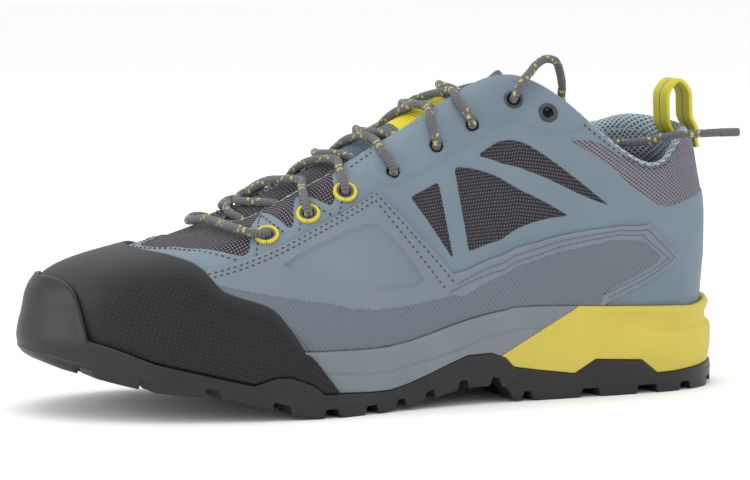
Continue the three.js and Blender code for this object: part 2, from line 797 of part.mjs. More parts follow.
// The free end: up from the seventh eyelet, over into the opening, out across the rim by the heel.
// Points as [x from the sole's back, y, z].
const LACE_END = [
  [94.6, 24.6, 127.4],
  [89.4, 21.5, 131.5],
  [85.4, 19, 134.6],
  [80.5, 17, 136.5],
  [74.7, 14, 135.1],
  [72.2, 12, 131.3],
  [70.6, 11, 125.4],
  [70.4, 10, 119.5],
  [67, 9, 110],
  [58, 12, 103.5],
  [47, 16, 101.4],
  [33.5, 21, 102.8],
  [27.6, 26, 104.6],
  [20.8, 31, 105.4],
  [11, 35, 106],
  [3.6, 38, 106.2],
];
function buildLaceEnd() {
  const throughRing = [-1.2, 1.2, 3.6].map((lift) => eyeletAt(lacedEyelets - 1, 1, lift).at);
  const points = [...throughRing, ...LACE_END.map((p) => new THREE.Vector3(...p))];
  return cordAlong(points, 30, 8);
}

// Pull loop: a tape standing on the heel's rim, its front limb going down inside the lining.
function buildPullLoop() {
  const rim = skin(0, 1);
  const pad = ribAt(0).pad;
  const front = rim.x + pad + 3.4;
  const back = front - loopDepth;
  const foot = rim.z + clearance + tapeThickness / 2 + 0.4;
  const top = rim.z + loopHeight;
  const middle = (front + back) / 2;
  const points = [
    [back + 1.2, foot],
    [back, lerp(foot, top, 0.35)],
    [back + 0.4, lerp(foot, top, 0.75)],
    [middle, top],
    [front - 0.4, lerp(foot, top, 0.75)],
    [front, lerp(foot, top, 0.35)],
    [front - 0.6, foot - 2],
    [front - 1, foot - 9],
  ].map(([x, z]) => new THREE.Vector3(x, 0, z));
  const curve = new THREE.CatmullRomCurve3(points, false, "centripetal");
  const pieces = 26;
  const path = curve.getSpacedPoints(pieces);
  const rows = path.map((at, i) => {
    const tangent = curve.getTangentAt(i / pieces);
    const across = new THREE.Vector3(-tangent.z, 0, tangent.x).multiplyScalar(tapeThickness / 2);
    return [-1, 1].map((side) => {
      const y = (side * tapeWidth) / 2;
      const edge = new THREE.Vector3(at.x, y, at.z);
      return [edge.clone().sub(across), edge.clone().add(across)];
    });
  });
  return solidFromSheet(rows);
}

const matt = (color, roughness) => new THREE.MeshStandardMaterial({ color, roughness });
const rubber = matt(0x333236, 0.62);
const randRubber = matt(0x38373b, 0.75);
const greyFoam = matt(0x84929a, 0.8);
const yellowFoam = matt(0xd2c455, 0.8);
const cloth = matt(0x7f9aa8, 0.75);
const panelCloth = matt(0x7f8c95, 0.72);
const tongueCloth = matt(0x4a4648, 0.9);
const insoleFoam = matt(0x55565a, 0.95);
const yellowThread = matt(0xe6d722, 0.7);
const darkRing = matt(0x2f2f33, 0.45);
const tape = matt(0xc3bd2a, 0.85);
const lace = matt(0x77766f, 0.9);

const shoe = new THREE.Group();
const slack = 0.12; // triangles are dropped where that moves the surface less than this
function add(name, solid, material) {
  const mesh = new THREE.Mesh(geometryOf(solid.simplify(slack)), material);
  mesh.name = name;
  shoe.add(mesh);
}

const { front, heel } = cutMidsole(buildMidsole());
add("outsole", buildOutsole(), rubber);
add("midsole_front", front, greyFoam);
add("midsole_heel", heel, yellowFoam);
add("insole", buildInsole(), insoleFoam);
add("upper", buildUpper(), cloth);
add("tongue", buildTongue(), tongueCloth);
add("toe_rand", buildRand(), randRubber);
add("side_panel_lateral", buildPanel(1), panelCloth);
add("side_panel_medial", buildPanel(-1), panelCloth);
for (const [side, word] of [[1, "lateral"], [-1, "medial"]]) {
  for (let i = 0; i < yellowRings; i++) {
    add(`eyelet_${word}_${i + 1}`, buildRing(i, side, ringWidth), yellowThread);
  }
  for (let i = firstDarkRing; i < EYELETS.length; i++) {
    add(`eyelet_${word}_${i + 1}`, buildRing(i, side, darkRingWidth), darkRing);
  }
}
add("lace_crossings", buildLaces(), lace);
add("lace_end", buildLaceEnd(), lace);
add("heel_loop", buildPullLoop(), tape);

shoe.position.x = -soleLength / 2;

export default shoe;
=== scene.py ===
# %% [markdown]
# # A left approach shoe
#
# An approach shoe is a low walking shoe with a rubber toe for scrambling on rock. This lesson dresses the
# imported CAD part: each plain solid is replaced by a finer piece of the same size, with cloth, thread,
# rubber and foam that look like the real ones. Lengths in the tables are millimetres, measured from the
# back of the sole, and every mesh is turned to metres when it is made.

# %% The frame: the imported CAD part
import math
import bmesh
import bpy
import numpy as np
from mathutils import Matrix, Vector, kdtree


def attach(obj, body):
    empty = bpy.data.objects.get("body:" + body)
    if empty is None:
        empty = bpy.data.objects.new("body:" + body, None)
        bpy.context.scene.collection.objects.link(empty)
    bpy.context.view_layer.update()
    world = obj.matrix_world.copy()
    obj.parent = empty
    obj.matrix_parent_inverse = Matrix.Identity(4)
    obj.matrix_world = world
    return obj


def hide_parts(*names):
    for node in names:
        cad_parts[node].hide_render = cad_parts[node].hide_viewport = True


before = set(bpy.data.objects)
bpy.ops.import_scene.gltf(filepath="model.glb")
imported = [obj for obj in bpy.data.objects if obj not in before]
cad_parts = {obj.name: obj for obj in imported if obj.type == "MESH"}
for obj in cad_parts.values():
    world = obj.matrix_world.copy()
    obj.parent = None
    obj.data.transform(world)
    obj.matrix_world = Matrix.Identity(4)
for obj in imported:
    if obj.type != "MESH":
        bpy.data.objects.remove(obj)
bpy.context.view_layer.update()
SOLE_LENGTH = 296.0
print("CAD nodes:", len(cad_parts))


# %% Millimetres from the sole's back become metres round the shoe's middle
def to_row(points):
    """The part stands with the middle of its sole over the origin."""
    return (np.asarray(points, float) - [SOLE_LENGTH / 2, 0, 0]) * 0.001


print("the toe tip is at", to_row([SOLE_LENGTH, 0, 0]))

# %% [markdown]
# ## The camera
# The photograph was taken from the shoe's outer side, a little ahead of it and low, with a long lens, so
# its far and near edges are almost the same size. The direction, height and lens were found by laying
# the shoe's outline over the picture.

# %% The camera
TURN, RISE, AWAY = math.radians(21), math.radians(5.856), 1.3
TARGET = Vector((0, 0, 0.060))
camera = bpy.data.objects.new("camera", bpy.data.cameras.new("camera"))
bpy.context.scene.collection.objects.link(camera)
bpy.context.scene.camera = camera
back = Vector((math.sin(TURN) * math.cos(RISE), math.cos(TURN) * math.cos(RISE), math.sin(RISE)))
camera.location = TARGET + AWAY * back
camera.rotation_euler = back.to_track_quat("Z", "Y").to_euler()
camera.data.lens = 153.5
camera.data.sensor_width = 36
camera.data.shift_x = -0.0015
camera.data.shift_y = 0.0109
print("camera at", [round(v, 3) for v in camera.location])

# %% [markdown]
# ## The form of the upper
# A shoe's upper is pulled over a last, so it is one smooth bag. It could be sculpted, but then the straps,
# panels and stitches would each need fitting by hand. Here it is a formula instead: stations run round
# the shoe, and at each one a rib climbs from the sole to the opening. A point is named by its station s
# and its share h of the rib, and everything sewn to the upper, the laces too, uses the same two numbers.

# %% Stations, as in the part's source
LAST, BALL, INSTEP, SEAT, ARCH, TOE_ROOF = 285.0, 98.0, 130.0, 38.0, 20.2, 13.0
HEEL_FLARE, CUP = 5.0, 5.0
# at, out, inn | rimAt, rimOut, rimInn, upOut, upInn | box, roof, bulge, pad
STATIONS = np.array([
    [0.0, 0.0, 0.0, 0.016, 0.0, 0.0, 0.82, 0.82, 2.2, 0.0, 2.2, 7.0],
    [0.045, 0.26, 0.26, 0.06, 0.235, 0.235, 0.785, 0.845, 2.2, 0.0, 2.2, 7.5],
    [0.14, 0.345, 0.335, 0.125, 0.315, 0.31, 0.715, 0.815, 2.1, 0.0, 2.0, 8.0],
    [0.26, 0.36, 0.325, 0.225, 0.27, 0.275, 0.875, 0.86, 1.9, 0.0, 1.5, 7.0],
    [0.385, 0.38, 0.315, 0.325, 0.135, 0.19, 1.0, 0.955, 1.6, 0.0, 1.0, 4.5],
    [0.51, 0.43, 0.35, 0.455, 0.14, 0.175, 0.873, 0.865, 1.65, 0.0, 0.5, 3.0],
    [0.635, 0.5, 0.43, 0.575, 0.15, 0.165, 0.735, 0.735, 1.9, 0.2, 0.5, 2.6],
    [0.765, 0.475, 0.47, 0.665, 0.14, 0.155, 0.635, 0.635, 2.4, 0.6, 0.5, 2.4],
    [0.9, 0.32, 0.41, 0.71, 0.095, 0.115, 0.583, 0.583, 3.5, 0.95, 0.5, 2.4],
    [1.0, -0.06, 0.06, 0.725, -0.02, 0.02, 0.57, 0.57, 4.0, 1.0, 0.5, 2.4],
])
# at, tread, thick, edge: the tread, the outsole's side above it and the midsole's upper edge
SOLE = np.array([
    [0.0, 0.07, 0.363, 0.975], [0.03, 0.0, 0.47, 0.93], [0.066, 0.0, 0.44, 0.905],
    [0.1, 0.0, 0.405, 0.925], [0.129, 0.0, 0.395, 0.935], [0.154, 0.0, 0.685, 0.945],
    [0.226, 0.0, 0.75, 0.97], [0.258, 0.0, 0.485, 0.985], [0.308, 0.0, 0.59, 1.0],
    [0.35, 0.02, 0.652, 1.0], [0.362, 0.16, 0.579, 0.975], [0.385, 0.19, 0.643, 0.95],
    [0.42, 0.185, 0.637, 0.895], [0.45, 0.145, 0.562, 0.835], [0.48, 0.09, 0.501, 0.77],
    [0.511, 0.05, 0.431, 0.715], [0.54, 0.02, 0.392, 0.68], [0.57, 0.0, 0.425, 0.672],
    [0.641, 0.0, 0.465, 0.68], [0.657, 0.01, 0.641, 0.682], [0.686, 0.05, 0.726, 0.69],
    [0.706, 0.095, 0.651, 0.695], [0.736, 0.16, 0.389, 0.705], [0.768, 0.225, 0.377, 0.72],
    [0.81, 0.275, 0.433, 0.745], [0.86, 0.31, 0.537, 0.775], [0.91, 0.4, 0.608, 0.81],
    [0.96, 0.5, 0.509, 0.84], [1.0, 0.62, 0.334, 0.86],
])
TOE = len(STATIONS) - 1
ROUND = 2 * TOE
SIDES = ((1, "lateral"), (-1, "medial"))


def smooth(x, low, high):
    t = np.clip((x - low) / (high - low), 0, 1)
    return t * t * (3 - 2 * t)


def closed_spline(values):
    """A smooth closed curve through equally spaced values."""
    n = len(values)
    matrix = 4 * np.eye(n) + np.roll(np.eye(n), 1, 0) + np.roll(np.eye(n), -1, 0)
    slope = np.linalg.solve(matrix, 3 * (np.roll(values, -1) - np.roll(values, 1)))

    def value_at(s):
        cell = np.floor(s).astype(int)
        f = s - cell
        i, j = cell % n, (cell + 1) % n
        step = values[j] - values[i]
        bend = (1 - f) * (slope[i] - step) + f * (step - slope[j])
        return values[i] + f * step + f * (1 - f) * bend

    return value_at


def round_ring(pick):
    outer = [pick(row, 1) for row in STATIONS]
    inner = [pick(row, -1) for row in STATIONS[-2:0:-1]]
    return closed_spline(np.array(outer + inner))


foot_x = round_ring(lambda row, side: HEEL_FLARE + row[0] * LAST)
foot_y = round_ring(lambda row, side: (row[1] if side > 0 else -row[2]) * BALL)
rim_x = round_ring(lambda row, side: HEEL_FLARE + row[3] * LAST)
rim_y = round_ring(lambda row, side: (row[4] if side > 0 else -row[5]) * BALL)
rim_z = round_ring(lambda row, side: (row[6] if side > 0 else row[7]) * INSTEP)
squareness = round_ring(lambda row, side: row[8])
roof_drop = round_ring(lambda row, side: row[9] * TOE_ROOF)
bulge = round_ring(lambda row, side: row[10])
padding = round_ring(lambda row, side: row[11])
print("stations round the shoe:", ROUND)


# %% Heights along the sole
def sole_height(x, column):
    return np.interp(x / SOLE_LENGTH, SOLE[:, 0], SOLE[:, column])


def tread_at(x):
    return sole_height(x, 1) * SEAT


def seam_at(x):
    return tread_at(x) + sole_height(x, 2) * ARCH


def edge_at(x):
    return sole_height(x, 3) * SEAT


def cup_at(x):
    return CUP * (1 - smooth(x / SOLE_LENGTH, 0.55, 0.66))


print("midsole edge at the heel:", round(float(edge_at(0)), 1), "mm")


# %% Ribs, points of the upper and directions out of it
def outward(s):
    """Level direction out of the shoe at station s."""
    dx = foot_x(s + 0.01) - foot_x(s - 0.01)
    dy = foot_y(s + 0.01) - foot_y(s - 0.01)
    length = np.hypot(dx, dy)
    return -dy / length, dx / length


def ribs(s, count=45):
    """The rib at each station: its points and the length run along it."""
    s = np.atleast_1d(s)[:, None]
    turn = np.linspace(0, np.pi / 2, count)[None, :]
    box = squareness(s)
    inward = 1 - np.cos(turn).clip(0) ** (2 / box)
    rise = np.sin(turn) ** (2 / box)
    foot = edge_at(foot_x(s)) - cup_at(foot_x(s))
    roof = rim_z(s) - foot - roof_drop(s) * (1 - inward ** 2.2)
    swell = bulge(s) * np.sin(np.pi * rise) ** 2
    ox, oy = outward(s)
    x = foot_x(s) + (rim_x(s) - foot_x(s)) * inward + ox * swell
    y = foot_y(s) + (rim_y(s) - foot_y(s)) * inward + oy * swell
    points = np.stack([x, y, foot + rise * roof], 2)
    step = np.linalg.norm(np.diff(points, axis=1), axis=2)
    return points, np.concatenate([np.zeros((len(step), 1)), np.cumsum(step, 1)], 1)


def skin(s, h):
    """Points of the upper's outside at stations s and shares h, arrays of one shape."""
    s, h = np.broadcast_arrays(np.asarray(s, float), np.asarray(h, float))
    shape = s.shape
    known, back_to = np.unique(np.round(s.ravel() % ROUND, 5), return_inverse=True)
    points, run = ribs(known)
    want = h.ravel().clip(0, 1) * run[back_to, -1]
    low = np.zeros(len(want), int)
    for column in range(1, run.shape[1] - 1):
        low += run[back_to, column] < want
    a, b = run[back_to, low], run[back_to, low + 1]
    f = ((want - a) / (b - a))[:, None]
    found = points[back_to, low] * (1 - f) + points[back_to, low + 1] * f
    return found.reshape(shape + (3,))


def unit(v):
    return v / np.linalg.norm(v, axis=-1, keepdims=True).clip(1e-9)


def run_along(path):
    """The length run along a path, at each of its points."""
    return np.concatenate([[0], np.cumsum(np.linalg.norm(np.diff(path, axis=0), axis=1))])


def skin_normal(s, h):
    s, h = np.broadcast_arrays(np.asarray(s, float), np.asarray(h, float))
    along = skin(s + 0.04, h) - skin(s - 0.04, h)
    up = skin(s, (h + 0.015).clip(0, 1)) - skin(s, (h - 0.015).clip(0, 1))
    return unit(np.cross(up, along))


def skin_out(s, h, lift):
    lift = np.asarray(lift, float)
    return skin(s, h) + skin_normal(s, h) * lift[..., None]


def from_heel(s):
    """Stations away from the heel, the same on both sides."""
    turned = np.asarray(s) % ROUND
    return np.minimum(turned, ROUND - turned)


print("rib lengths at the ball:", np.round(ribs([6.0])[1][0, -1], 1), "mm")

# %% [markdown]
# ## Helpers for meshes and materials
# Every piece below is a mesh from its own points, so one function makes it, hangs it on the part and hides
# the CAD solid it stands for. It can also hold fields: numbers at the points, in millimetres, that a
# material reads, such as the distance to the edge of a mesh window. A field gives a clean edge between
# two finishes without cutting the mesh there.

# %% One function makes a piece
def make_piece(name, points, faces, finish, replaces=(), fields=None):
    mesh = bpy.data.meshes.new(name)
    mesh.from_pydata(to_row(points).reshape(-1, 3).tolist(), [], faces)
    for key, values in (fields or {}).items():
        values = np.asarray(values, np.float32)
        single = values.size == len(mesh.vertices)
        kind, slot_key = ("FLOAT", "value") if single else ("FLOAT_VECTOR", "vector")
        mesh.attributes.new(key, kind, "POINT").data.foreach_set(slot_key, values.ravel())
    work = bmesh.new()
    work.from_mesh(mesh)
    bmesh.ops.recalc_face_normals(work, faces=work.faces)
    for face in work.faces:
        face.smooth = True
    work.to_mesh(mesh)
    work.free()
    piece = bpy.data.objects.new(name, mesh)
    bpy.context.scene.collection.objects.link(piece)
    mesh.materials.append(finish)
    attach(piece, "root")
    if replaces:
        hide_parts(*replaces)
    print(name, len(mesh.polygons), "faces")
    return piece


def grid_faces(rows, columns, closed=False, first=0):
    """Quads of a grid whose points run along each row; closed joins each row's end to its start."""
    wide = columns if closed else columns - 1
    r, c = np.meshgrid(np.arange(rows - 1), np.arange(wide), indexing="ij")
    after = (c + 1) % columns
    here, below = r * columns, (r + 1) * columns
    quads = np.stack([here + c, below + c, below + after, here + after], 2)
    return (quads.reshape(-1, 4) + first).tolist()


def tube_faces(rings, sides, first=0):
    """Faces of a tube: the grid of its rings and a flat cap at each end."""
    caps = [tuple(range(at, at + sides)) for at in (first, first + (rings - 1) * sides)]
    return grid_faces(rings, sides, closed=True, first=first) + caps


# %% One function adds a node with its settings and links
def node(tree, kind, inputs=None, out=0, **settings):
    """Adds a node, sets it up, links or sets its inputs, and gives back one of its outputs."""
    made = tree.nodes.new("ShaderNode" + kind)
    for key, value in settings.items():
        setattr(made, key, value)
    for key, value in (inputs or {}).items():
        if isinstance(value, bpy.types.NodeSocket):
            tree.links.new(value, made.inputs[key])
        else:
            made.inputs[key].default_value = value
    return made.outputs[out] if len(made.outputs) else made


def linear(hex_colour):
    """An sRGB hex colour as the linear numbers that Blender's sockets take."""
    parts = [int(hex_colour[i:i + 2], 16) / 255 for i in (1, 3, 5)]
    return tuple(p / 12.92 if p <= 0.04045 else ((p + 0.055) / 1.055) ** 2.4 for p in parts) + (1.0,)


def new_finish(name):
    """An empty material and its tree of nodes."""
    finish = bpy.data.materials.new(name)
    finish.use_nodes = True
    finish.node_tree.nodes.clear()
    return finish, finish.node_tree


def threads(tree, cloth, pitch, degrees):
    """A pattern of threads this many mm apart, at an angle to the cloth: 1 on a thread and -1 between."""
    turn, angle = 2 * math.pi / pitch, math.radians(degrees)
    across = (-math.sin(angle) * turn, math.cos(angle) * turn, 0)
    along = node(tree, "VectorMath", {0: cloth, 1: across}, "Value", operation="DOT_PRODUCT")
    return node(tree, "Math", {0: along}, operation="SINE")


print("mid grey is", round(linear("#808080")[0], 3))

# %% Plain finishes: one colour and one roughness each
# Bonded nylon thread has a dull shine. The lace's tip is braid dipped in resin: grey, smoother and a little
# shiny. Brass plated black reflects like a metal, with a dark tint. The cut edge of a hole is raw fibre,
# painted nearly black as painted shade in the hole, and the cloth inside a ring is a plain grey backing.
plain = {}
for name, hue, roughness, metallic in (
        ("dark_bonded_nylon", "#2b2e34", 0.6, 0.0), ("grey_bonded_nylon", "#65616b", 0.6, 0.0),
        ("sealed_lace_tip", "#57535a", 0.5, 0.0), ("black_plated_brass", "#4a4a50", 0.36, 0.8),
        ("hole_painted_shade", "#151418", 0.95, 0.0), ("grey_backing_cloth", "#555766", 0.75, 0.0)):
    plain[name], tree = new_finish(name)
    node(tree, "OutputMaterial", {0: node(tree, "BsdfPrincipled", {
        "Base Color": linear(hue), "Roughness": roughness, "Metallic": metallic})})
print("plain finishes:", len(plain))

# %% [markdown]
# ## The laces
# The shoe is laced criss-cross from the toe with a round braided cord 3.4 mm thick. Each strand leaves from
# under one edge of the throat, crosses the tongue and goes down into the next eyelet of the other side.
# A cord is a tube along a smooth curve through listed points. Its braid is too fine to model, so
# the finish draws it, and the tube carries the length run and the angle for it.

# %% Cord finish: braided polyester
# A braid is matt with a faint sheen. Two yellow tracer yarns wind opposite ways and cross every 8.5 mm,
# which the eye sees as pairs of short slanting flecks.
braid, tree = new_finish("braided_polyester_cord")
field = node(tree, "Attribute", out="Vector", attribute_name="cord")
parts = node(tree, "SeparateXYZ", {0: field}).node
angle = node(tree, "Math", {0: parts.outputs[2], 1: parts.outputs[1]}, operation="ARCTAN2")
place = node(tree, "CombineXYZ", {0: parts.outputs[0], 1: angle})
yarns, tracers = [], []
for way in (1, -1):
    # Eight yarns each way round a girth of 10.7 mm are 1.3 mm apart.
    turned = node(tree, "VectorMath", {0: place, 1: (2.95, 8 * way, 0)}, "Value", operation="DOT_PRODUCT")
    yarns.append(node(tree, "Math", {0: turned}, operation="SINE"))
    turned = node(tree, "VectorMath", {0: place, 1: (2.95 / 8, way, 0)}, "Value", operation="DOT_PRODUCT")
    tracers.append(node(tree, "Math", {0: turned}, operation="COSINE"))
weave = node(tree, "Math", {0: yarns[0], 1: yarns[1]}, operation="MULTIPLY")
tracer = node(tree, "Math", {0: tracers[0], 1: tracers[1]}, operation="MAXIMUM")
beat = node(tree, "Math", {0: parts.outputs[0], 1: 2.4}, operation="MULTIPLY")
beat = node(tree, "Math", {0: beat}, operation="SINE")
shown = node(tree, "MapRange", {0: tracer, 1: 0.87, 2: 0.97})
over = node(tree, "MapRange", {0: beat, 1: -0.2, 2: 0.4})
fleck = node(tree, "Math", {0: shown, 1: over}, operation="MULTIPLY")
lit = node(tree, "MapRange", {0: weave, 1: -0.8, 2: 0.8})
grey = node(tree, "Mix", {0: lit, 6: linear("#424146"), 7: linear("#77757b")}, 2, data_type="RGBA")
colour = node(tree, "Mix", {0: fleck, 6: grey, 7: linear("#bebd5e")}, 2, data_type="RGBA")
relief = node(tree, "Bump", {"Height": weave, "Distance": 0.0003, "Strength": 0.9})
node(tree, "OutputMaterial", {0: node(tree, "BsdfPrincipled", {
    "Base Color": colour, "Normal": relief, "Roughness": 0.75, "Sheen Weight": 0.15})})
print(braid.name, len(tree.nodes), "nodes")


# %% A cord along points
def smooth_path(points, step=0.8):
    """A smooth curve through points, with a point about every step mm."""
    points = np.asarray(points, float)
    ends = np.vstack([2 * points[0] - points[1], points, 2 * points[-1] - points[-2]])
    out = []
    for a, b, c, d in zip(ends, ends[1:], ends[2:], ends[3:]):
        t1 = np.linalg.norm(b - a) ** 0.5
        t2 = t1 + np.linalg.norm(c - b) ** 0.5
        t3 = t2 + np.linalg.norm(d - c) ** 0.5
        t = np.linspace(t1, t2, max(3, int(np.linalg.norm(c - b) / step)) + 1)[:-1, None]
        ab = (a * (t1 - t) + b * t) / t1
        bc = (b * (t2 - t) + c * (t - t1)) / (t2 - t1)
        cd = (c * (t3 - t) + d * (t - t2)) / (t3 - t2)
        abc = (ab * (t2 - t) + bc * t) / t2
        bcd = (bc * (t3 - t) + cd * (t - t1)) / (t3 - t1)
        out.append((abc * (t2 - t) + bcd * (t - t1)) / (t2 - t1))
    return np.vstack(out + [points[-1:]])


def tube(path, width, sides=12):
    """Points, faces and cord field of a round tube with closed ends."""
    way = unit(np.gradient(path, axis=0))
    frames, normal = [], unit(np.cross(way[0], [0.3, 1, 0.2]))
    for direction in way:
        normal = unit(normal - direction * (normal @ direction))
        frames.append(normal)
    frames = np.array(frames)
    other = np.cross(way, frames)
    turn = np.arange(sides) * 2 * math.pi / sides
    cosine, sine = np.cos(turn), np.sin(turn)
    spread = frames[:, None] * cosine[None, :, None] + other[:, None] * sine[None, :, None]
    rings = path[:, None] + width / 2 * spread
    run = run_along(path)
    field = np.stack([np.repeat(run, sides), np.tile(cosine, len(path)), np.tile(sine, len(path))], 1)
    return rings.reshape(-1, 3), tube_faces(len(path), sides), field


LACE = 3.4
EYELETS = [(6.84, .628), (6.34, .697), (5.88, .759), (5.27, .774), (4.74, .785), (4.31, .795), (3.82, .877),
           (3.37, .888)]


def on_side(s, h, lift, side):
    """A point over the outer (1) or inner (-1) side of the upper."""
    s = s if side > 0 else ROUND - s
    return skin_out(np.array([s]), np.array([h]), np.array([lift]))[0]


def throat(s, across, up):
    """A point over the throat: across runs from -1 at the inner edge to 1 at the outer edge."""
    around = np.array([s - 0.1, s, s + 0.1])
    outer, inner = skin(around, 1.0), skin(ROUND - around, 1.0)
    middle = (outer + inner) / 2
    square = unit(np.cross([0, 1, 0], unit(middle[2] - middle[0])))
    return inner[1] * (1 - across) / 2 + outer[1] * (1 + across) / 2 + square * np.sign(square[2]) * up


print("throat width at the middle:", round(float(throat(5.5, 1, 0)[1] - throat(5.5, -1, 0)[1]), 1), "mm")

# %% Routes of the strands over the throat: station, across, height
# Each INTO route ends in an outer eyelet, and each OUT route leaves from under the outer edge and ends in the
# next inner eyelet.
INTO = { 2: [(7.40, -1, -.8), (7.13, -.6, 3.2), (6.89, -.2, 4.7), (6.73, .2, 4.3), (6.61, .65, 3.4),
             (6.54, 1, 2.2)], 3: [(6.38, -1, -.8), (6.26, -.55, 2.4), (6.14, 0, 3.6), (6.06, .5, 3.3),
             (6.02, .8, 2.9), (6.01, 1, 2.2)], 4: [(5.78, -1, -1.2), (5.7, -.7, 1.2), (5.65, -.3, 3.2),
             (5.6, .1, 4.0), (5.55, .45, 4.0), (5.52, 1, 2.2)], 5: [(5.15, -1, -1.2), (5.08, -.6, 1.6),
             (5.02, -.2, 3.2), (4.96, .2, 3.8), (4.9, .55, 3.6), (4.88, 1, 2.2)], 6: [(4.86, -1, -.8),
             (4.81, -.45, 3.0), (4.75, 0, 3.6), (4.69, .4, 3.4), (4.65, .7, 3.0), (4.6, 1, 2.2)], }
OUT = { 1: [(8.16, 1, -1.4), (8.3, .5, 1.0), (8.35, 0, 2.4), (8.2, -.5, 3.2),
            (7.8, -1, 2.6)], 2: [(7.1, 1, -1.3), (7.25, .6, .9), (7.5, .1, 2.8), (7.65, -.3, 3.9),
            (7.4, -.75, 3.6), (7.0, -1, 2.6)], 3: [(5.83, 1, -1.2), (5.86, .7, 1.5), (5.92, .35, 2.9),
            (5.99, -.1, 3.7), (6.0, -.6, 3.6), (5.95, -1, 2.5)], 4: [(5.29, 1, -1.2), (5.37, .6, 1.3),
            (5.42, .1, 2.7), (5.45, -.5, 3.2), (5.4, -1, 2.5)], 5: [(4.83, 1, -1.2), (4.87, .7, 2.0),
            (4.9, .2, 4.1), (4.9, -.4, 4.1), (4.85, -1, 2.5)], 6: [(4.54, 1, -1.0), (4.54, .65, 2.0),
            (4.56, .15, 4.1), (4.5, -.4, 4.3), (4.4, -1, 2.6)], }


def under_edge(s, side):
    """Two points where a strand lies hidden between the upper and the tongue."""
    depth = -float(padding(np.array([s]))[0]) - 1.4
    return [on_side(s, 0.88, depth, side), on_side(s, 0.96, depth + 0.4, side)]


def into_hole(number, s_edge, side):
    """From the edge down over the upper and through an eyelet."""
    s, h = EYELETS[number - 1]
    steps = [(s_edge + (s - s_edge) * f, 0.97 + (h - 0.97) * f, 2.1) for f in (0.25, 0.6, 0.86)]
    return [on_side(*step, side) for step in steps] + [on_side(s, h, lift, side) for lift in (1.0, -1.3, -2.6)]


routes = []
for table, side, later in ((INTO, 1, 0), (OUT, -1, 1)):
    for number, points in table.items():
        routes.append(under_edge(points[0][0], -side) + [throat(*p) for p in points]
                      + into_hole(number + later, points[-1][0], side))
# The front bar lies on the toe's mesh, ahead of the throat, from one front eyelet to the other.
BAR = [(6.9, .615, 2.0), (7.1, .65, 2.1), (7.4, .73, 2.2), (7.88, .84, 2.3), (8.5, .915, 2.4),
       (9.18, .92, 2.5), (9.68, .865, 2.4), (10.1, .79, 2.3), (10.6, .72, 2.2), (10.95, .66, 2.1)]
front, h = EYELETS[0]
routes.append([on_side(front, h, lift, 1) for lift in (-2.6, -1.3, 0.9)] + [on_side(*p, 1) for p in BAR]
              + [on_side(front, h, lift, -1) for lift in (0.9, -1.3, -2.6)])
print("strands:", len(routes))

# %% The strands
cord_points, cord_faces, cord_fields = [], [], []
for route in routes:
    points, faces, field = tube(smooth_path(route), LACE)
    first = sum(len(p) for p in cord_points)
    cord_faces += [tuple(i + first for i in face) for face in faces]
    cord_points.append(points)
    cord_fields.append(field + [len(cord_points) * 3.1, 0, 0])
make_piece("lace_strands", np.vstack(cord_points), cord_faces, braid, ["lace_crossings"],
           {"cord": np.vstack(cord_fields)})

# %% [markdown]
# ## The free end
# The one end that the photograph shows leaves the seventh eyelet, arches over the edge, lies in the shoe
# and rests across the collar behind. It ends in a short plain tip, where the braid is sealed. Its other end
# stops at the seventh eyelet of the inner side.

# %% The free end and its tip
LACE_END = [(94.6, 24.6, 127.4), (89.4, 21.5, 131.5), (85.4, 19, 134.6), (80.5, 17, 136.5), (74.7, 14, 135.1),
            (72.2, 12, 131.3), (70.6, 11, 125.4), (70.4, 10, 119.5), (67, 9, 110), (58, 12, 103.5),
            (47, 16, 101.4), (33.5, 21, 102.8), (27.6, 26, 104.6), (20.8, 31, 105.4), (11, 35, 106),
            (3.6, 38, 106.2)]
start = [on_side(*EYELETS[6], lift, 1) for lift in (-1.2, 1.2, 3.6)]
end_path = smooth_path(start + [np.array(p) for p in LACE_END])
points, faces, field = tube(end_path, LACE)
free_lace = make_piece("lace_free_end", points, faces, braid, ["lace_end"], {"cord": field})
# The tip covers the last 7.5 mm and is rounded at its end.
TIP_AT, TIP_SCALE = [-7.5, -5, -2.5, 0, 0.5, 0.7], [1, 1, 1, 1, 0.85, 0.6]
tip_path = end_path[-1] + unit(end_path[-1] - end_path[-4]) * np.array(TIP_AT)[:, None]
points, faces, field = tube(tip_path, LACE + 0.12)
centres = np.repeat(tip_path, 12, 0)
points = centres + (points - centres) * np.repeat(TIP_SCALE, 12)[:, None]
tip = make_piece("lace_tip", points, faces, plain["sealed_lace_tip"])


# %% Lines and regions on the upper
def mirrored(line, side):
    """A line of (station, share) on the outer side, or the same line on the inner side."""
    line = np.asarray(line, float)
    return line if side > 0 else np.column_stack([ROUND - line[:, 0], line[:, 1]])


def drawn(line, step=0.5, closed=False):
    """The line with points every step mm, as stations and shares."""
    line = np.asarray(line, float)
    if closed:
        line = np.vstack([line, line[:1]])
    out = []
    for a, b in zip(line[:-1], line[1:]):
        ends = skin(np.array([a[0], b[0]]), np.array([a[1], b[1]]))
        count = max(1, int(np.linalg.norm(ends[1] - ends[0]) / step))
        out.append(a + (b - a) * (np.arange(count) / count)[:, None])
    out.append(line[-1:])
    return np.vstack(out)


def rounded(line, closed=True, rounds=2, share=0.2):
    """Cuts the corners of a line a few times, so that they are round."""
    line = np.asarray(line, float)
    for _ in range(rounds):
        if closed:
            after = np.roll(line, -1, 0)
            line = np.stack([line + (after - line) * share, after + (line - after) * share], 1).reshape(-1, 2)
        else:
            a, b = line[:-1], line[1:]
            cut = np.stack([a + (b - a) * share, b + (a - b) * share], 1).reshape(-1, 2)
            line = np.vstack([line[:1], cut[1:-1], line[-1:]])
    return line


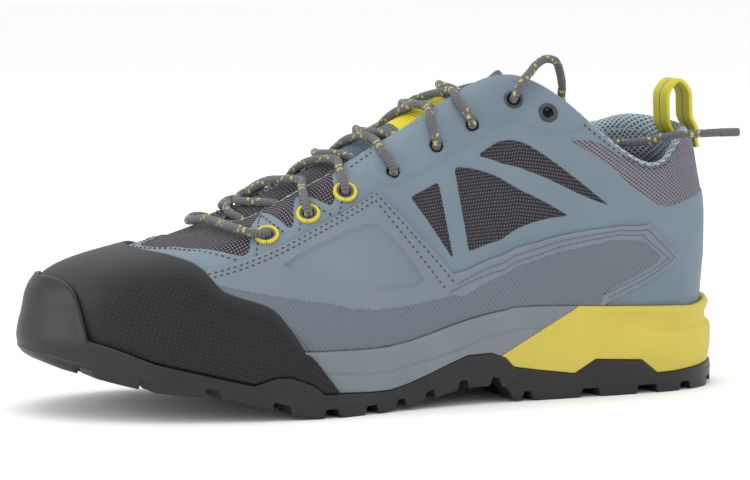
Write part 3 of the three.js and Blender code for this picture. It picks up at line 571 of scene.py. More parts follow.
def is_inside(region, s, h):
    """Which points (s, h) lie in a region, by counting edges crossed."""
    found = np.zeros(s.shape, bool)
    for (s0, h0), (s1, h1) in zip(region, np.roll(region, -1, 0)):
        if h0 == h1:
            continue
        crosses = (h0 > h) != (h1 > h)
        found ^= crosses & (s < s0 + (s1 - s0) * (h - h0) / (h1 - h0))
    return found


def distance_to(line, points, reach=8.0, closed=False):
    """Distance in mm from points to a drawn line, up to reach."""
    samples = skin(*drawn(line, 0.4, closed).T)
    tree = kdtree.KDTree(len(samples))
    for i, p in enumerate(samples):
        tree.insert(p, i)
    tree.balance()
    flat = points.reshape(-1, 3)
    low, high = samples.min(0) - reach, samples.max(0) + reach
    near = np.flatnonzero(((flat > low) & (flat < high)).all(1))
    out = np.full(len(flat), reach)
    for i in near:
        out[i] = min(reach, tree.find(flat[i])[2])
    return out.reshape(points.shape[:-1])


def edge_field(regions, s, h, points, reach=8.0):
    """Signed distance to the edge of the nearest region: negative inside it."""
    field = np.full(s.shape, reach)
    for region in regions:
        away = distance_to(region, points, reach, closed=True)
        field = np.minimum(field, np.where(is_inside(region, s, h), -away, away))
    return field


def groove(away, width, depth):
    """A soft furrow of this half width and depth along a line."""
    return -depth * np.exp(-((away / width) ** 2))


# %% [markdown]
# ## Where things lie on the upper
# The lines below were read off the photograph once the camera was known. The outer side shows them all;
# the inner side faces away, so it is given the same lines.

# %% Lines of the upper, as station and share
WINDOW_FRONT = rounded([(5.03, .626), (4.69, .629), (4.45, .29)], share=0.05)
WINDOW_MIDDLE = rounded([(4.5, .655), (3.66, .518), (3.02, .489), (3.88, .319), (4.26, .3)], share=0.04)
WINDOW_TOP = rounded([(4.22, .662), (3.96, .703), (3.79, .713), (3.58, .710), (3.24, .695), (2.82, .678),
                      (2.49, .647), (2.98, .615), (3.54, .603), (3.89, .615)], share=0.1)
COLLAR_PATCH = rounded([(3.06, .84), (2.92, .885), (2.8, .925), (2.7, .942), (2.56, .955), (2.4, .965),
                        (2.25, 1.05), (-.4, 1.05), (-.4, .66), (0, .66), (.85, .671), (1.52, .702),
                        (1.75, .733), (2.0, .793), (2.24, .835), (2.48, .868), (2.8, .858)], share=0.15)
VAMP_MESH = rounded([(9.5, .63), (8.6, .645), (8.28, .655), (7.75, .6), (7.3, .535), (7.07, .5), (7.0, .53),
                     (7.06, .64), (7.22, .78), (7.25, .923), (7.0, .84), (6.72, .72), (6.6, .655),
                     (6.53, .636), (6.52, .69), (6.58, .8), (6.60, .896), (6.38, .83), (6.16, .74),
                     (6.04, .701), (6.0, .76), (6.06, .86), (6.10, .935), (5.6, 1.1),
                     (9.5, 1.1)], rounds=1, share=0.15)
EYELET_BAND = rounded([(5.52, .78), (5.34, .717), (4.95, .717), (4.6, .722), (4.22, .729), (3.94, .789),
                       (3.71, .802), (3.52, .795), (3.38, .801), (2.94, .924), (2.9, 1.05), (5.6, 1.05)])
RAND_TOP = rounded([(5.93, -.99), (6.1, -.5), (6.25, -.12), (6.36, .058), (6.62, .2), (6.76, .234),
                    (7.03, .27), (7.2, .297), (7.31, .347), (7.43, .395), (7.58, .437), (7.79, .473),
                    (8.13, .525), (8.67, .573), (9, .585)], closed=False)
PANEL_TOP = [(1.45, .385), (1.94, .614), (2.36, .557), (2.95, .418), (3.39, .325), (3.84, .262), (4.28, .235),
             (4.46, .24), (5.47, .715), (6.4, .568), (7.42, .41)]
PANEL_HEEL = [(1.45, .37), (2.53, .073), (2.6, -1)]
TAB_STITCH = [[(6.9, .49), (6.96, .65), (7.1, .78), (7.16, .862), (7.0, .79), (6.76, .68), (6.58, .6)],
              [(6.43, .6), (6.42, .70), (6.47, .79), (6.51, .85), (6.34, .775), (6.16, .69), (6.03, .65)],
              [(5.94, .64), (5.9, .75), (5.96, .86), (5.98, .905)]]
TOE_STITCH = [[(8.95, .605), (8.6, .618), (8.28, .628), (7.75, .573), (7.3, .506), (7.06, .468)]]
RIM_STITCH = [[(5.85, .905), (5.53, .944), (5.28, .949), (4.98, .955), (4.68, .955), (4.38, .958),
              (4.02, .962), (3.63, .955), (3.23, .958), (2.85, .966), (2.4, .975), (1.9, .975), (1.4, .975)]]
print("windows:", len(WINDOW_FRONT), len(WINDOW_MIDDLE), len(WINDOW_TOP), "points")

# %% [markdown]
# ## The upper
# The shell is a smooth coated fabric, with windows where a dark open mesh shows and a textile at the
# collar. A fine grid carries it. The windows and the textile are sunk a little below the shell, as the
# layer that was cut away was, and the raised lines are pressed in. Slow waves stand for the soft unevenness
# of a shoe that is empty.

# %% The shell's points and fields
COLUMNS, ROWS = 648, 104
stations = np.arange(COLUMNS) * ROUND / COLUMNS
shares = np.linspace(0, 1, ROWS)
S, H = np.meshgrid(stations, shares)
bare = skin(S, H)
window, collar, vamp, band, holes = (np.full(S.shape, 8.0) for _ in range(5))
for pick, side in ((S <= TOE, 1), (S > TOE, -1)):
    s, h, p = S[pick], H[pick], bare[pick]
    window[pick] = edge_field([mirrored(w, side) for w in (WINDOW_FRONT, WINDOW_MIDDLE, WINDOW_TOP)], s, h, p)
    collar[pick] = edge_field([mirrored(COLLAR_PATCH, side)], s, h, p)
    vamp[pick] = edge_field([mirrored(VAMP_MESH, side)], s, h, p)
    band[pick] = edge_field([mirrored(EYELET_BAND, side)], s, h, p)
    for eyelet in EYELETS:
        centre = skin(*mirrored([eyelet], side).T)[0]
        holes[pick] = np.minimum(holes[pick], np.linalg.norm(p - centre, axis=1))
wave = 0.18 * np.sin(S * 5.3 + 4 * H) * np.sin(H * 17 + S) * smooth(H, 0.2, 0.4)
lift = (wave - 0.8 * smooth(-window, -0.3, 0.9) - 0.5 * smooth(-collar, -0.4, 0.8)
        - 0.9 * smooth(-vamp, -0.3, 0.9) + 0.5 * smooth(-band, -1.2, 0.6) + groove(band - 1.3, 0.9, 0.35)
        - 2.6 * smooth(-holes, -2.75, -1.9))
shell_points = bare + skin_normal(S, H) * lift[..., None]
edge, edge_out = skin(stations, np.ones(COLUMNS)), skin_normal(stations, np.ones(COLUMNS))
edge_up = unit(edge - skin(stations, np.full(COLUMNS, 0.97)))
run_up = ribs(stations)[1][:, -1]
half = np.linspace(0, TOE, 400)
half_run = run_along(skin(half, 0.5))


def cloth_at(s, h):
    """Cloth coordinates in mm: along the shoe from the heel, and up the rib, alike on both sides."""
    up = h * np.interp(np.asarray(s) % ROUND, np.append(stations, ROUND), np.append(run_up, run_up[0]))
    return np.stack([np.interp(from_heel(s), half, half_run), up, 0 * up], -1)


print("shell:", shell_points.shape, "window field from", round(float(window.min()), 1))

# %% [markdown]
# ## Cloth finishes
# The shell is a polyurethane-coated microfibre: matt, even, with a very fine grain. The windows and the
# front of the foot are an air mesh, dark with paler threads that show as dots, and the collar is a knitted
# spacer cloth. All three come from one shader that changes at the edge fields, so their borders are sharp.

# %% Shell finish
coated, tree = new_finish("coated_microfibre")
place = node(tree, "TexCoord", out="Object")
cloth = node(tree, "Attribute", out="Vector", attribute_name="cloth")
patches = node(tree, "TexNoise", {"Vector": place, "Scale": 35.0, "Detail": 3.0})
shell_colour = node(tree, "Mix", {0: patches, 6: linear("#63737f"), 7: linear("#75858f")}, 2, data_type="RGBA")
inside = [node(tree, "MapRange", {0: node(tree, "Attribute", out="Fac", attribute_name=key), 1: 0.15, 2: -0.15})
          for key in ("window", "vamp", "collar")]
in_mesh = node(tree, "Math", {0: inside[0], 1: inside[1]}, operation="MAXIMUM")
# Threads of the air mesh are 0.5 mm; they are drawn 1.4 mm apart so that they show.
dots = node(tree, "Math", {0: threads(tree, cloth, 1.4, 8), 1: threads(tree, cloth, 1.2, 98)},
            operation="MINIMUM")
bright = node(tree, "MapRange", {0: dots, 1: -0.1, 2: 0.6})
# The windows lie over a dark lining, and the toe's mesh over a paler one.
thread = node(tree, "Mix", {0: inside[1], 6: linear("#716b71"), 7: linear("#98929a")}, 2, data_type="RGBA")
mesh_colour = node(tree, "Mix", {0: bright, 6: linear("#2c2a2f"), 7: thread}, 2, data_type="RGBA")
# The spacer cloth has knots 1.4 mm apart on two slanting rows.
knots = node(tree, "Math", {0: threads(tree, cloth, 1.4, 30), 1: threads(tree, cloth, 1.3, -40)},
             operation="MAXIMUM")
bright = node(tree, "MapRange", {0: knots, 1: -0.3, 2: 0.8})
knit_colour = node(tree, "Mix", {0: bright, 6: linear("#454349"), 7: linear("#84808a")}, 2, data_type="RGBA")
colour = node(tree, "Mix", {0: in_mesh, 6: shell_colour, 7: mesh_colour}, 2, data_type="RGBA")
colour = node(tree, "Mix", {0: inside[2], 6: colour, 7: knit_colour}, 2, data_type="RGBA")
grain = node(tree, "TexVoronoi", {"Vector": place, "Scale": 1000 / 0.5})
height = node(tree, "Math", {0: grain, 1: 0.15}, operation="MULTIPLY")
for share, pattern in ((in_mesh, dots), (inside[2], knots)):
    raised = node(tree, "Math", {0: share, 1: pattern}, operation="MULTIPLY")
    height = node(tree, "Math", {0: raised, 1: height}, operation="ADD")
relief = node(tree, "Bump", {"Height": height, "Distance": 0.0003, "Strength": 0.8})
textile = node(tree, "Math", {0: in_mesh, 1: inside[2]}, operation="MAXIMUM")
rough = node(tree, "MapRange", {0: textile, 3: 0.58, 4: 0.9})
node(tree, "OutputMaterial", {0: node(tree, "BsdfPrincipled", {
    "Base Color": colour, "Normal": relief, "Roughness": rough, "Specular IOR Level": 0.35})})
print(coated.name, len(tree.nodes), "nodes")

# %% The shell
cloth_field = cloth_at(S, H)
# Over the toe the ribs fan out, so there the cloth is laid flat instead.
flat = np.stack([bare[..., 0], bare[..., 1], 0 * S], -1)
cloth_field = np.where((vamp < 2)[..., None], flat, cloth_field)
# The shell's edge is folded in: three rows, each so far in and so far up.
fold = [edge - edge_out * far_in + edge_up * far_up
        for far_in, far_up in ((0.5, 0.25), (1.1, 0.1), (1.3, -1.5))]
shell_rows = np.concatenate([shell_points, np.array(fold)])
shell_fields = {key: np.concatenate([field, np.repeat(field[-1:], len(fold), 0)])
                for key, field in (("window", window), ("collar", collar), ("vamp", vamp))}
shell_fields["cloth"] = np.concatenate([cloth_field, np.repeat(cloth_field[-1:], len(fold), 0)])
make_piece("upper_shell", shell_rows, grid_faces(len(shell_rows), COLUMNS, closed=True), coated,
           ["upper"], shell_fields)

# %% [markdown]
# ## The lining
# The collar is padded with foam and lined with a pale spacer mesh that rolls over the edge. The roll is as
# thick as the padding at each station, and plumper at the heel, where it holds the foot.

# %% Lining finish: spacer mesh
# An open knit over foam is matt, with dark pores 2.2 mm apart. Deep in the shoe it is painted darker grey:
# painted shade.
lining_mesh, tree = new_finish("spacer_mesh_lining")
cloth = node(tree, "Attribute", out="Vector", attribute_name="cloth")
pores = node(tree, "Math", {0: threads(tree, cloth, 2.2, 25), 1: threads(tree, cloth, 2.0, -35)},
             operation="MAXIMUM")
bright = node(tree, "MapRange", {0: pores, 1: -0.6, 2: 0.4})
unshaded_lining = node(tree, "Mix", {0: bright, 6: linear("#556570"), 7: linear("#a6b8c2")}, 2, data_type="RGBA")
# Painted shade: the lining turns darker grey from 22 to 40 mm down inside the shoe.
depth_shade = node(tree, "Attribute", out="Fac", attribute_name="depth")
depth_shade = node(tree, "MapRange", {0: depth_shade, 1: 22.0, 2: 40.0})
colour = node(tree, "Mix", {0: depth_shade, 6: unshaded_lining, 7: linear("#3c4146")}, 2, data_type="RGBA")
relief = node(tree, "Bump", {"Height": pores, "Distance": 0.0006, "Strength": 0.9})
node(tree, "OutputMaterial", {0: node(tree, "BsdfPrincipled", {
    "Base Color": colour, "Normal": relief, "Roughness": 0.85, "Sheen Weight": 0.2})})


# %% The lining from under the shell's edge, over the roll and down inside
def wall_at(s, h):
    return 2.4 + (padding(s) - 2.4) * smooth(h, 0.45, 0.85)


plump = np.exp(-((from_heel(stations) / 1.1) ** 2))[:, None]
pad = padding(stations)[:, None] + 3.4 * plump
centre = edge - edge_out * pad / 2
turns = np.linspace(0, np.pi, 15)
rise = np.maximum(pad * 0.38, 2.2) * (1 - 0.85 * smooth(from_heel(stations), 5.5, 6.2))[:, None]
roll_up = unit(edge_up + [0, 0, 0.8])
roll = [centre + edge_out * (pad / 2 - 0.5) * np.cos(t) + roll_up * rise * np.sin(t) for t in turns]
inner = []
for h in np.linspace(0.985, 0.04, 46):
    swell = 0.6 * np.sin(np.clip((1 - h) / 0.3, 0, 1) * np.pi)
    heel_swell = 3.4 * plump[:, 0] * smooth(h, 0.55, 0.95)
    inner.append(skin_out(stations, np.full(COLUMNS, h), -(wall_at(stations, h) - 0.15 + swell + heel_swell)))
every = slice(None, None, 2)
tucked = edge[every] - edge_out[every] * 0.75 - edge_up[every] * 1.2
lining_rows = np.concatenate([[tucked], np.array(roll)[:, every], np.array(inner)[:, every]])
steps = np.linalg.norm(np.diff(lining_rows, axis=0), axis=2)
lining_run = np.concatenate([np.zeros((1, COLUMNS // 2)), np.cumsum(steps, 0)])
along = cloth_at(stations, 1.0 + 0 * stations)[every, 0]
lining_cloth = np.stack([np.broadcast_to(along, lining_run.shape), lining_run, 0 * lining_run], 2)
make_piece("collar_lining", lining_rows, grid_faces(len(lining_rows), COLUMNS // 2, closed=True), lining_mesh,
           [], {"cloth": lining_cloth, "depth": lining_run})

# %% [markdown]
# ## Layers sewn over the upper
# The side panels, the toe rand and the sole's toe bumper are sheets laid over the upper. Each is a curtain:
# columns stand at stations and run from the layer's lower edge to its upper edge, so the outline is exact.
# The sheet has a real thickness, with a wall all round and a softly rounded edge.

# %% Reach of midsole and outsole beyond the upper's foot line
def midsole_reach(s):
    k = from_heel(s)
    behind = 3.4 + (2.6 - 3.4) * smooth(k, 0, 2)
    return behind + (1.2 - behind) * smooth(k, 6.3, 7.3)


def outsole_reach(s):
    k = from_heel(s)
    behind = 5.0 + (3.2 - 5.0) * smooth(k, 0, 2)
    ball = behind + (4.8 - behind) * smooth(k, 5.4, 6)
    return ball + (6.0 - ball) * smooth(k, 7, TOE)


def foam_low(x):
    """The midsole's lower edge: 0.3 mm above the outsole's side, so that the two don't share a face."""
    return seam_at(x) + 0.3


def beside(s, reach, height_of):
    """Beside the sole: the upper's foot line moved out level, at a height that follows x."""
    ox, oy = outward(s)
    x, y = foot_x(s) + ox * reach, foot_y(s) + oy * reach
    return np.stack([x, y, height_of(x) + 0 * x], -1)


def flank(s, t, lift):
    """t from -1 to 0 climbs the midsole's side, and above 0 it is the share of the rib."""
    s, t, lift = np.broadcast_arrays(s, t, np.asarray(lift, float))
    reach = midsole_reach(s)
    low = beside(s, reach + lift, lambda x: foam_low(x) + (edge_at(x) - foam_low(x)) * (1 + t))
    away = lift + reach * (1 - smooth(t, 0, 0.12))
    high = skin_out(s, t.clip(0), away)
    # Near the midsole's edge the way out is level, so that the two halves meet.
    high[..., 2] -= skin_normal(s, t.clip(0))[..., 2] * away * (1 - smooth(t, 0, 0.1))
    return np.where((t < 0)[..., None], low, high)


def read_line(line, s):
    line = np.asarray(line, float)
    return np.interp(s, line[:, 0], line[:, 1])


def curtain(bottom, top, low, high, columns, rows):
    """Stations and shares of a layer's grid, closer together near its two edges."""
    s = np.linspace(low, high, columns)
    f = np.linspace(0, 1, rows)
    f = np.unique(np.round(np.concatenate([[0, 0.004, 0.01, 0.02], f[1:-1], [0.98, 0.99, 0.996, 1]]), 4))
    b, t = bottom(s), np.maximum(top(s), bottom(s) + 0.004)
    return np.broadcast_to(s, (len(f), columns)), b + (t - b) * f[:, None]


def border_field(s, points):
    """Distance in mm from each point of a grid to the grid's border."""
    rim = np.vstack([points[0], points[:, -1], points[-1][::-1], points[:, 0][::-1]])
    tree = kdtree.KDTree(len(rim))
    for i, p in enumerate(rim):
        tree.insert(p, i)
    tree.balance()
    return np.array([min(6.0, tree.find(p)[2]) for p in points.reshape(-1, 3)]).reshape(s.shape)


def two_sided(rows, columns):
    """Faces of a sheet with thickness: its outer grid, its inner grid and the wall between them."""
    shift = rows * columns
    faces = grid_faces(rows, columns) + grid_faces(rows, columns, first=shift)
    loop = list(range(columns)) + [r * columns + columns - 1 for r in range(1, rows)]
    loop += [(rows - 1) * columns + c for c in range(columns - 2, -1, -1)]
    loop += [r * columns for r in range(rows - 2, 0, -1)]
    return faces + [(a, b, b + shift, a + shift) for a, b in zip(loop, loop[1:] + loop[:1])]


def layer_piece(name, s, h, place, lift_in, lift_out, finish, replaces, fields=None, shape=0.0,
                lip=0.0):
    """A sheet with thickness over a grid of stations and shares, rounded at its edge."""
    away = border_field(s, place(s, h, lift_out))
    lift = lift_out + shape - 0.45 * (1 - smooth(away, 0, 0.9)) + lip * np.exp(-(((away - 1.1) / 0.6) ** 2))
    points = np.concatenate([place(s, h, lift).reshape(-1, 3), place(s, h, lift_in).reshape(-1, 3)])
    both = {key: np.concatenate([np.asarray(v).reshape(s.size, -1)] * 2) for key, v in (fields or {}).items()}
    return make_piece(name, points, two_sided(*s.shape), finish, replaces, both)


def lip_share(s):
    """Share of the rib just below the midsole's edge, where the layers are tucked in."""
    tries = np.linspace(0, 0.3, 61)
    heights = skin(np.repeat(s, 61).reshape(-1, 61), np.tile(tries, (len(s), 1)))[..., 2]
    want = edge_at(foot_x(s)) - 0.6
    return tries[(heights < want[:, None]).sum(1).clip(0, 60)]


print("rand from station", RAND_TOP[0][0], "to", RAND_TOP[-1][0])

# %% [markdown]
# ## Stitches
# Shoe thread is a bonded twist about half a millimetre thick. Each stitch is a short bead that rises out of
# the cloth and goes back into it, so it is modelled: a picture of a dashed line would lie flat.

# %% Stitches of bonded nylon
dark_thread, grey_thread = plain["dark_bonded_nylon"], plain["grey_bonded_nylon"]
# Along a stitch: where its five rings stand, how high each rises in mm, and how thick it is.
BEAD_AT, BEAD_RISE, BEAD_THICK = np.array([[0, 0.2, 0.5, 0.8, 1], [-0.25, 0.14, 0.22, 0.14, -0.25],
                                           [0.45, 0.95, 1, 0.95, 0.45]])


def stitches(name, lines, finish, lift=0.0, length=1.7, gap=0.9, width=0.6, first_at=0.4):
    """Rows of stitches along lines of stations and shares."""
    points, faces = [], []
    for line in lines:
        track = drawn(line, 0.25)
        base = skin_out(track[:, 0], track[:, 1], np.full(len(track), lift))
        top = skin_out(track[:, 0], track[:, 1], np.full(len(track), lift + 1.0))
        run = run_along(base)
        for start in np.arange(first_at, run[-1] - length, length + gap):
            at = start + length * BEAD_AT
            spine = np.column_stack([np.interp(at, run, base[:, i]) for i in range(3)])
            out = unit(np.column_stack([np.interp(at, run, top[:, i]) for i in range(3)]) - spine)
            side = np.cross(out, unit(np.gradient(spine, axis=0)))
            thick = width / 2 * BEAD_THICK
            rings = [spine + out * (BEAD_RISE + thick * math.cos(a))[:, None]
                     + side * (thick * math.sin(a))[:, None] for a in np.arange(6) * math.pi / 3]
            first = 30 * len(points)
            points.append(np.stack(rings, 1).reshape(-1, 3))
            faces += tube_faces(5, 6, first)
    return make_piece(name, np.vstack(points), faces, finish)


for side, word in SIDES:
    lines = [mirrored(line, side) for line in TAB_STITCH + TOE_STITCH + RIM_STITCH]
    stitches(f"edge_stitches_{word}", lines, dark_thread, lift=0.05, length=1.5, gap=1.1, width=0.5)

# %% [markdown]
# ## Side panels
# A tough coated ripstop guards the side of the foot. Its front is smooth, with a sunk wedge pressed into it,
# and its lower part and its heel end have fine slanting ribs.

# %% Panel finish: ripstop with a polyurethane coat
# The coat makes it matt and even. The ribs stand 1.5 mm apart and lean back, with a fainter set across.
ribbed_cloth, tree = new_finish("coated_ripstop")
place = node(tree, "TexCoord", out="Object")
cloth = node(tree, "Attribute", out="Vector", attribute_name="cloth")
is_ribbed = node(tree, "Attribute", out="Fac", attribute_name="ribbed")
is_ribbed = node(tree, "MapRange", {0: is_ribbed, 1: 0.3, 2: -0.3})
cross_ribs = node(tree, "Math", {0: threads(tree, cloth, 1.5, -35), 1: 0.35}, operation="MULTIPLY")
ribs_wave = node(tree, "Math", {0: threads(tree, cloth, 1.5, 55), 1: cross_ribs}, operation="ADD")
ribbing = node(tree, "Math", {0: ribs_wave, 1: is_ribbed}, operation="MULTIPLY")
patches = node(tree, "TexNoise", {"Vector": place, "Scale": 28.0, "Detail": 4.0})
base = node(tree, "Mix", {0: patches, 6: linear("#6a747e"), 7: linear("#7a848e")}, 2, data_type="RGBA")
shade = node(tree, "MapRange", {0: ribbing, 1: -1.3, 2: 1.3})
dark_rib = node(tree, "Mix", {0: shade, 6: linear("#5b636c"), 7: linear("#6a737c")}, 2, data_type="RGBA")
mostly = node(tree, "Math", {0: is_ribbed, 1: 0.85}, operation="MULTIPLY")
colour = node(tree, "Mix", {0: mostly, 6: base, 7: dark_rib}, 2, data_type="RGBA")
grain = node(tree, "TexVoronoi", {"Vector": place, "Scale": 1000 / 0.6})
grain = node(tree, "Math", {0: grain, 1: 0.3}, operation="MULTIPLY")
height = node(tree, "Math", {0: ribbing, 1: grain}, operation="ADD")
relief = node(tree, "Bump", {"Height": height, "Distance": 0.00014, "Strength": 0.8})
node(tree, "OutputMaterial", {0: node(tree, "BsdfPrincipled", {
    "Base Color": colour, "Normal": relief, "Roughness": 0.64, "Specular IOR Level": 0.35})})
print(ribbed_cloth.name, len(tree.nodes), "nodes")

# %% Panel lines, as station and share
RIBBED = rounded([(7.8, .37), (7.35, .33), (7.01, .306), (6.28, .236), (5.81, .213), (5.46, .213),
                  (4.94, .187), (4.48, .16), (4.3, .14), (3.8, .19), (3.4, .25), (2.95, .34), (2.4, .472),
                  (2.13, .5), (2.0, .495), (1.74, .393), (2.62, .12), (2.7, -1), (7.8, -1)], share=0.1)
WEDGE = rounded([(6.58, .42), (6.39, .466), (6.16, .506), (5.86, .55), (5.61, .57), (5.45, .559),
                 (5.28, .492), (5.08, .398), (4.92, .31), (4.86, .271), (4.95, .262), (5.26, .288),
                 (5.59, .302), (5.96, .312), (6.31, .357)], share=0.12)
PANEL_STITCH = [[(7.40, .376), (6.40, .553), (5.49, .700), (4.43, .196)],
                [(7.33, .362), (6.37, .53), (5.5, .672), (4.52, .176)]]
HEEL_STITCH = [[(4.43, .196), (3.84, .232), (3.39, .3), (2.95, .393), (2.36, .532), (1.98, .578), (1.53, .388),
                (2.5, .115)],
               [(4.52, .176), (3.84, .205), (3.39, .272), (2.95, .366), (2.38, .503), (2.06, .54), (1.64, .39),
                (2.55, .135)]]
HEEL_LINE = [(4.3, .13), (3.8, .19), (3.4, .25), (2.95, .34), (2.4, .472), (2.13, .5), (2.0, .495),
             (1.74, .393), (2.62, .12)]
print("panel seams:", len(PANEL_STITCH) + len(HEEL_STITCH))


# %% The two panels, tucked under the rand and the midsole's edge
def panel_foot(s):
    k = from_heel(s)
    return np.maximum(np.maximum(lip_share(s), read_line(PANEL_HEEL, k)), read_line(RAND_TOP, k) - 0.012)


for side, word in SIDES:
    low, high = (1.45, 7.42) if side > 0 else (ROUND - 7.42, ROUND - 1.45)
    s, h = curtain(panel_foot, lambda s: read_line(PANEL_TOP, from_heel(s)), low, high, 240, 64)
    flat = skin_out(s, h, 1.4)
    ribbed = edge_field([mirrored(RIBBED, side)], s, h, flat)
    wedge = edge_field([mirrored(WEDGE, side)], s, h, flat)
    seams = sum(groove(distance_to(mirrored(line, side), flat), 0.55, 0.22)
                for line in PANEL_STITCH + HEEL_STITCH)
    line = groove(distance_to(mirrored(HEEL_LINE, side), flat), 0.4, 0.35)
    pressed = -0.6 * smooth(-wedge, -0.4, 0.4) + groove(wedge - 0.9, 0.7, -0.4)
    shape = seams + line + pressed - 0.25 * smooth(-ribbed, -0.3, 0.3)
    layer_piece(f"side_panel_{word}_cloth", s, h, skin_out, 0.3, 1.4, ribbed_cloth,
                [f"side_panel_{word}"], {"cloth": cloth_at(s, h), "ribbed": ribbed}, shape)
    stitches(f"panel_stitches_{word}", [mirrored(line, side) for line in PANEL_STITCH], dark_thread, lift=1.2)
    heel_lines = [mirrored(line, side) for line in HEEL_STITCH]
    stitches(f"heel_threads_{word}", heel_lines, grey_thread, lift=1.2, length=1.7, gap=0.9)
    stitches(f"heel_holes_{word}", heel_lines, dark_thread, lift=1.15, length=0.8, gap=1.8, width=0.55,
             first_at=2.15)

# %% [markdown]
# ## Rubber
# The rand is a moulded sheet of soft rubber with rows of tiny squares that grip rock; its top is plain. The
# outsole is harder, and smooth where the mould was polished.

# %% Rubber finishes
# Soft moulded rubber is nearly black and half matt. The squares are 1 mm, on rows 1.7 mm apart.
rand_rubber, tree = new_finish("soft_moulded_rubber")
cloth = node(tree, "Attribute", out="Vector", attribute_name="cloth")
squares = node(tree, "Math", {0: threads(tree, cloth, 1.7, 14), 1: threads(tree, cloth, 1.45, 100)},
               operation="MINIMUM")
raised = node(tree, "MapRange", {0: squares, 1: -0.3, 2: 0.3})
textured = node(tree, "Attribute", out="Fac", attribute_name="cap")
textured = node(tree, "MapRange", {0: textured, 1: 2.0, 2: 9.0})
height = node(tree, "Math", {0: raised, 1: textured}, operation="MULTIPLY")
# The plain cap is a lighter grey than the textured part. There the ground between the raised squares is painted
# darker than the squares: painted shade in the grooves.
cap_or_shaded_ground = node(tree, "Mix", {0: textured, 6: linear("#343337"), 7: linear("#1b1b1d")}, 2, data_type="RGBA")
colour = node(tree, "Mix", {0: height, 6: cap_or_shaded_ground, 7: linear("#28272a")}, 2, data_type="RGBA")
relief = node(tree, "Bump", {"Height": height, "Distance": 0.0002, "Strength": 0.8})
node(tree, "OutputMaterial", {0: node(tree, "BsdfPrincipled", {
    "Base Color": colour, "Normal": relief, "Roughness": 0.55, "Specular IOR Level": 0.25})})

# Hard sole rubber is smoother, with a dusting that breaks up its shine.
sole_rubber, tree = new_finish("hard_moulded_rubber")
place = node(tree, "TexCoord", out="Object")
dust = node(tree, "TexNoise", {"Vector": place, "Scale": 60.0, "Detail": 5.0})
colour = node(tree, "Mix", {0: dust, 6: linear("#19181b"), 7: linear("#28272a")}, 2, data_type="RGBA")
grain = node(tree, "TexVoronoi", {"Vector": place, "Scale": 1000 / 0.5})
relief = node(tree, "Bump", {"Height": grain, "Distance": 0.00006, "Strength": 0.6})
rough = node(tree, "MapRange", {0: dust, 3: 0.34, 4: 0.48})
node(tree, "OutputMaterial", {0: node(tree, "BsdfPrincipled", {
    "Base Color": colour, "Normal": relief, "Roughness": rough, "Specular IOR Level": 0.35})})

# %% Toe rand, which overlaps the front of the panels
s, h = curtain(lambda s: -1.0 + 0.25 * smooth(from_heel(s), 7.9, 8.2),
               lambda s: read_line(RAND_TOP, from_heel(s)), 5.93, ROUND - 5.93, 330, 70)
rand_cloth = cloth_at(s, h.clip(0))
rand_cloth[..., 1] += np.where(h < 0, h * 10, 0)
# The plain cap reaches some millimetres down from the rand's top: farthest at the tip of the toe.
beside_toe = np.abs(s - TOE)
cap = (read_line(RAND_TOP, from_heel(s)) - h) * 75 * smooth(beside_toe, 0.2, 2.2)
cap += 4 * smooth(beside_toe, 0, 1.5)
layer_piece("toe_rand_rubber", s, h, flank, 0.3, 1.9, rand_rubber, ["toe_rand"],
            {"cloth": rand_cloth, "cap": cap})

# %% [markdown]
# ## Outsole
# Its underside is a height map over lines that run across the sole from edge to edge. Lugs 3.6 mm high stand
# on a plate: blocks round the edge, cut where the photograph shows notches, and rows of chevrons between.
# The photograph hides the underside, so the chevrons are a guess. Its side rounds under at the toe.

# %% The outsole's side
LUG, TOE_ROUND = 3.6, 4.5


def side_height(s):
    x = foot_x(s)
    return seam_at(x) - tread_at(x)


def wall(s, up, out_by=0.0, share=0.0):
    """The outsole's side, up mm above the tread and then a share of the way to its top; round at the toe."""
    height = up + (side_height(s) - up) * share
    turned_in = 1 - np.sqrt(1 - (1 - height / TOE_ROUND).clip(0, 1) ** 2)
    under = TOE_ROUND * turned_in * smooth(from_heel(s), 7.7, 8.8)
    return beside(s, outsole_reach(s) + out_by - under,
                  lambda x: tread_at(x) + up + (seam_at(x) - tread_at(x) - up) * share)


print("side height at the toe:", round(float(side_height(np.array([9.0]))[0]), 1), "mm")

# %% The tread
NOTCHES = [(0.027, 3.2), (0.082, 4.6), (0.146, 8.7), (0.234, 8.0), (0.33, 3.6), (0.378, 3.6), (0.428, 3.6),
           (0.479, 3.6), (0.524, 3.6), (0.57, 5.0), (0.631, 5.6), (0.7, 6.5), (0.79, 5.0), (0.87, 4.0),
           (0.935, 4.0)]
# Stations of the sole's lines, packed closer at heel and toe so that x advances evenly.
even_x = np.linspace(foot_x(np.array([0.0]))[0] + 0.02, foot_x(np.array([float(TOE)]))[0] - 0.02, 400)
fine = np.linspace(0, TOE, 4000)
line_s = np.interp(even_x, foot_x(fine), fine)
line_s = np.unique(np.concatenate([[0], line_s, np.linspace(0, 0.35, 14), np.linspace(TOE - 0.35, TOE, 14)]))
outer, inner = wall(line_s, 0 * line_s), wall(ROUND - line_s, 0 * line_s)
span = np.linspace(-1, 1, 121)
span = 0.5 * np.sin(span * np.pi / 2) + 0.5 * span
plan = inner[:, None] + (outer - inner)[:, None] * (span[None, :, None] + 1) / 2
x, y = plan[..., 0], plan[..., 1]
from_edge = np.linalg.norm(outer - inner, axis=1)[:, None] / 2 * (1 - np.abs(span)[None, :])
notch = np.full(x.shape, 9.0)
for share, width in NOTCHES:
    notch = np.minimum(notch, np.abs(x - share * SOLE_LENGTH - 0.125 * from_edge) - width / 2)
edge_lug = np.minimum(14 - from_edge, notch)
middle_y = (outer[:, None, 1] + inner[:, None, 1]) / 2
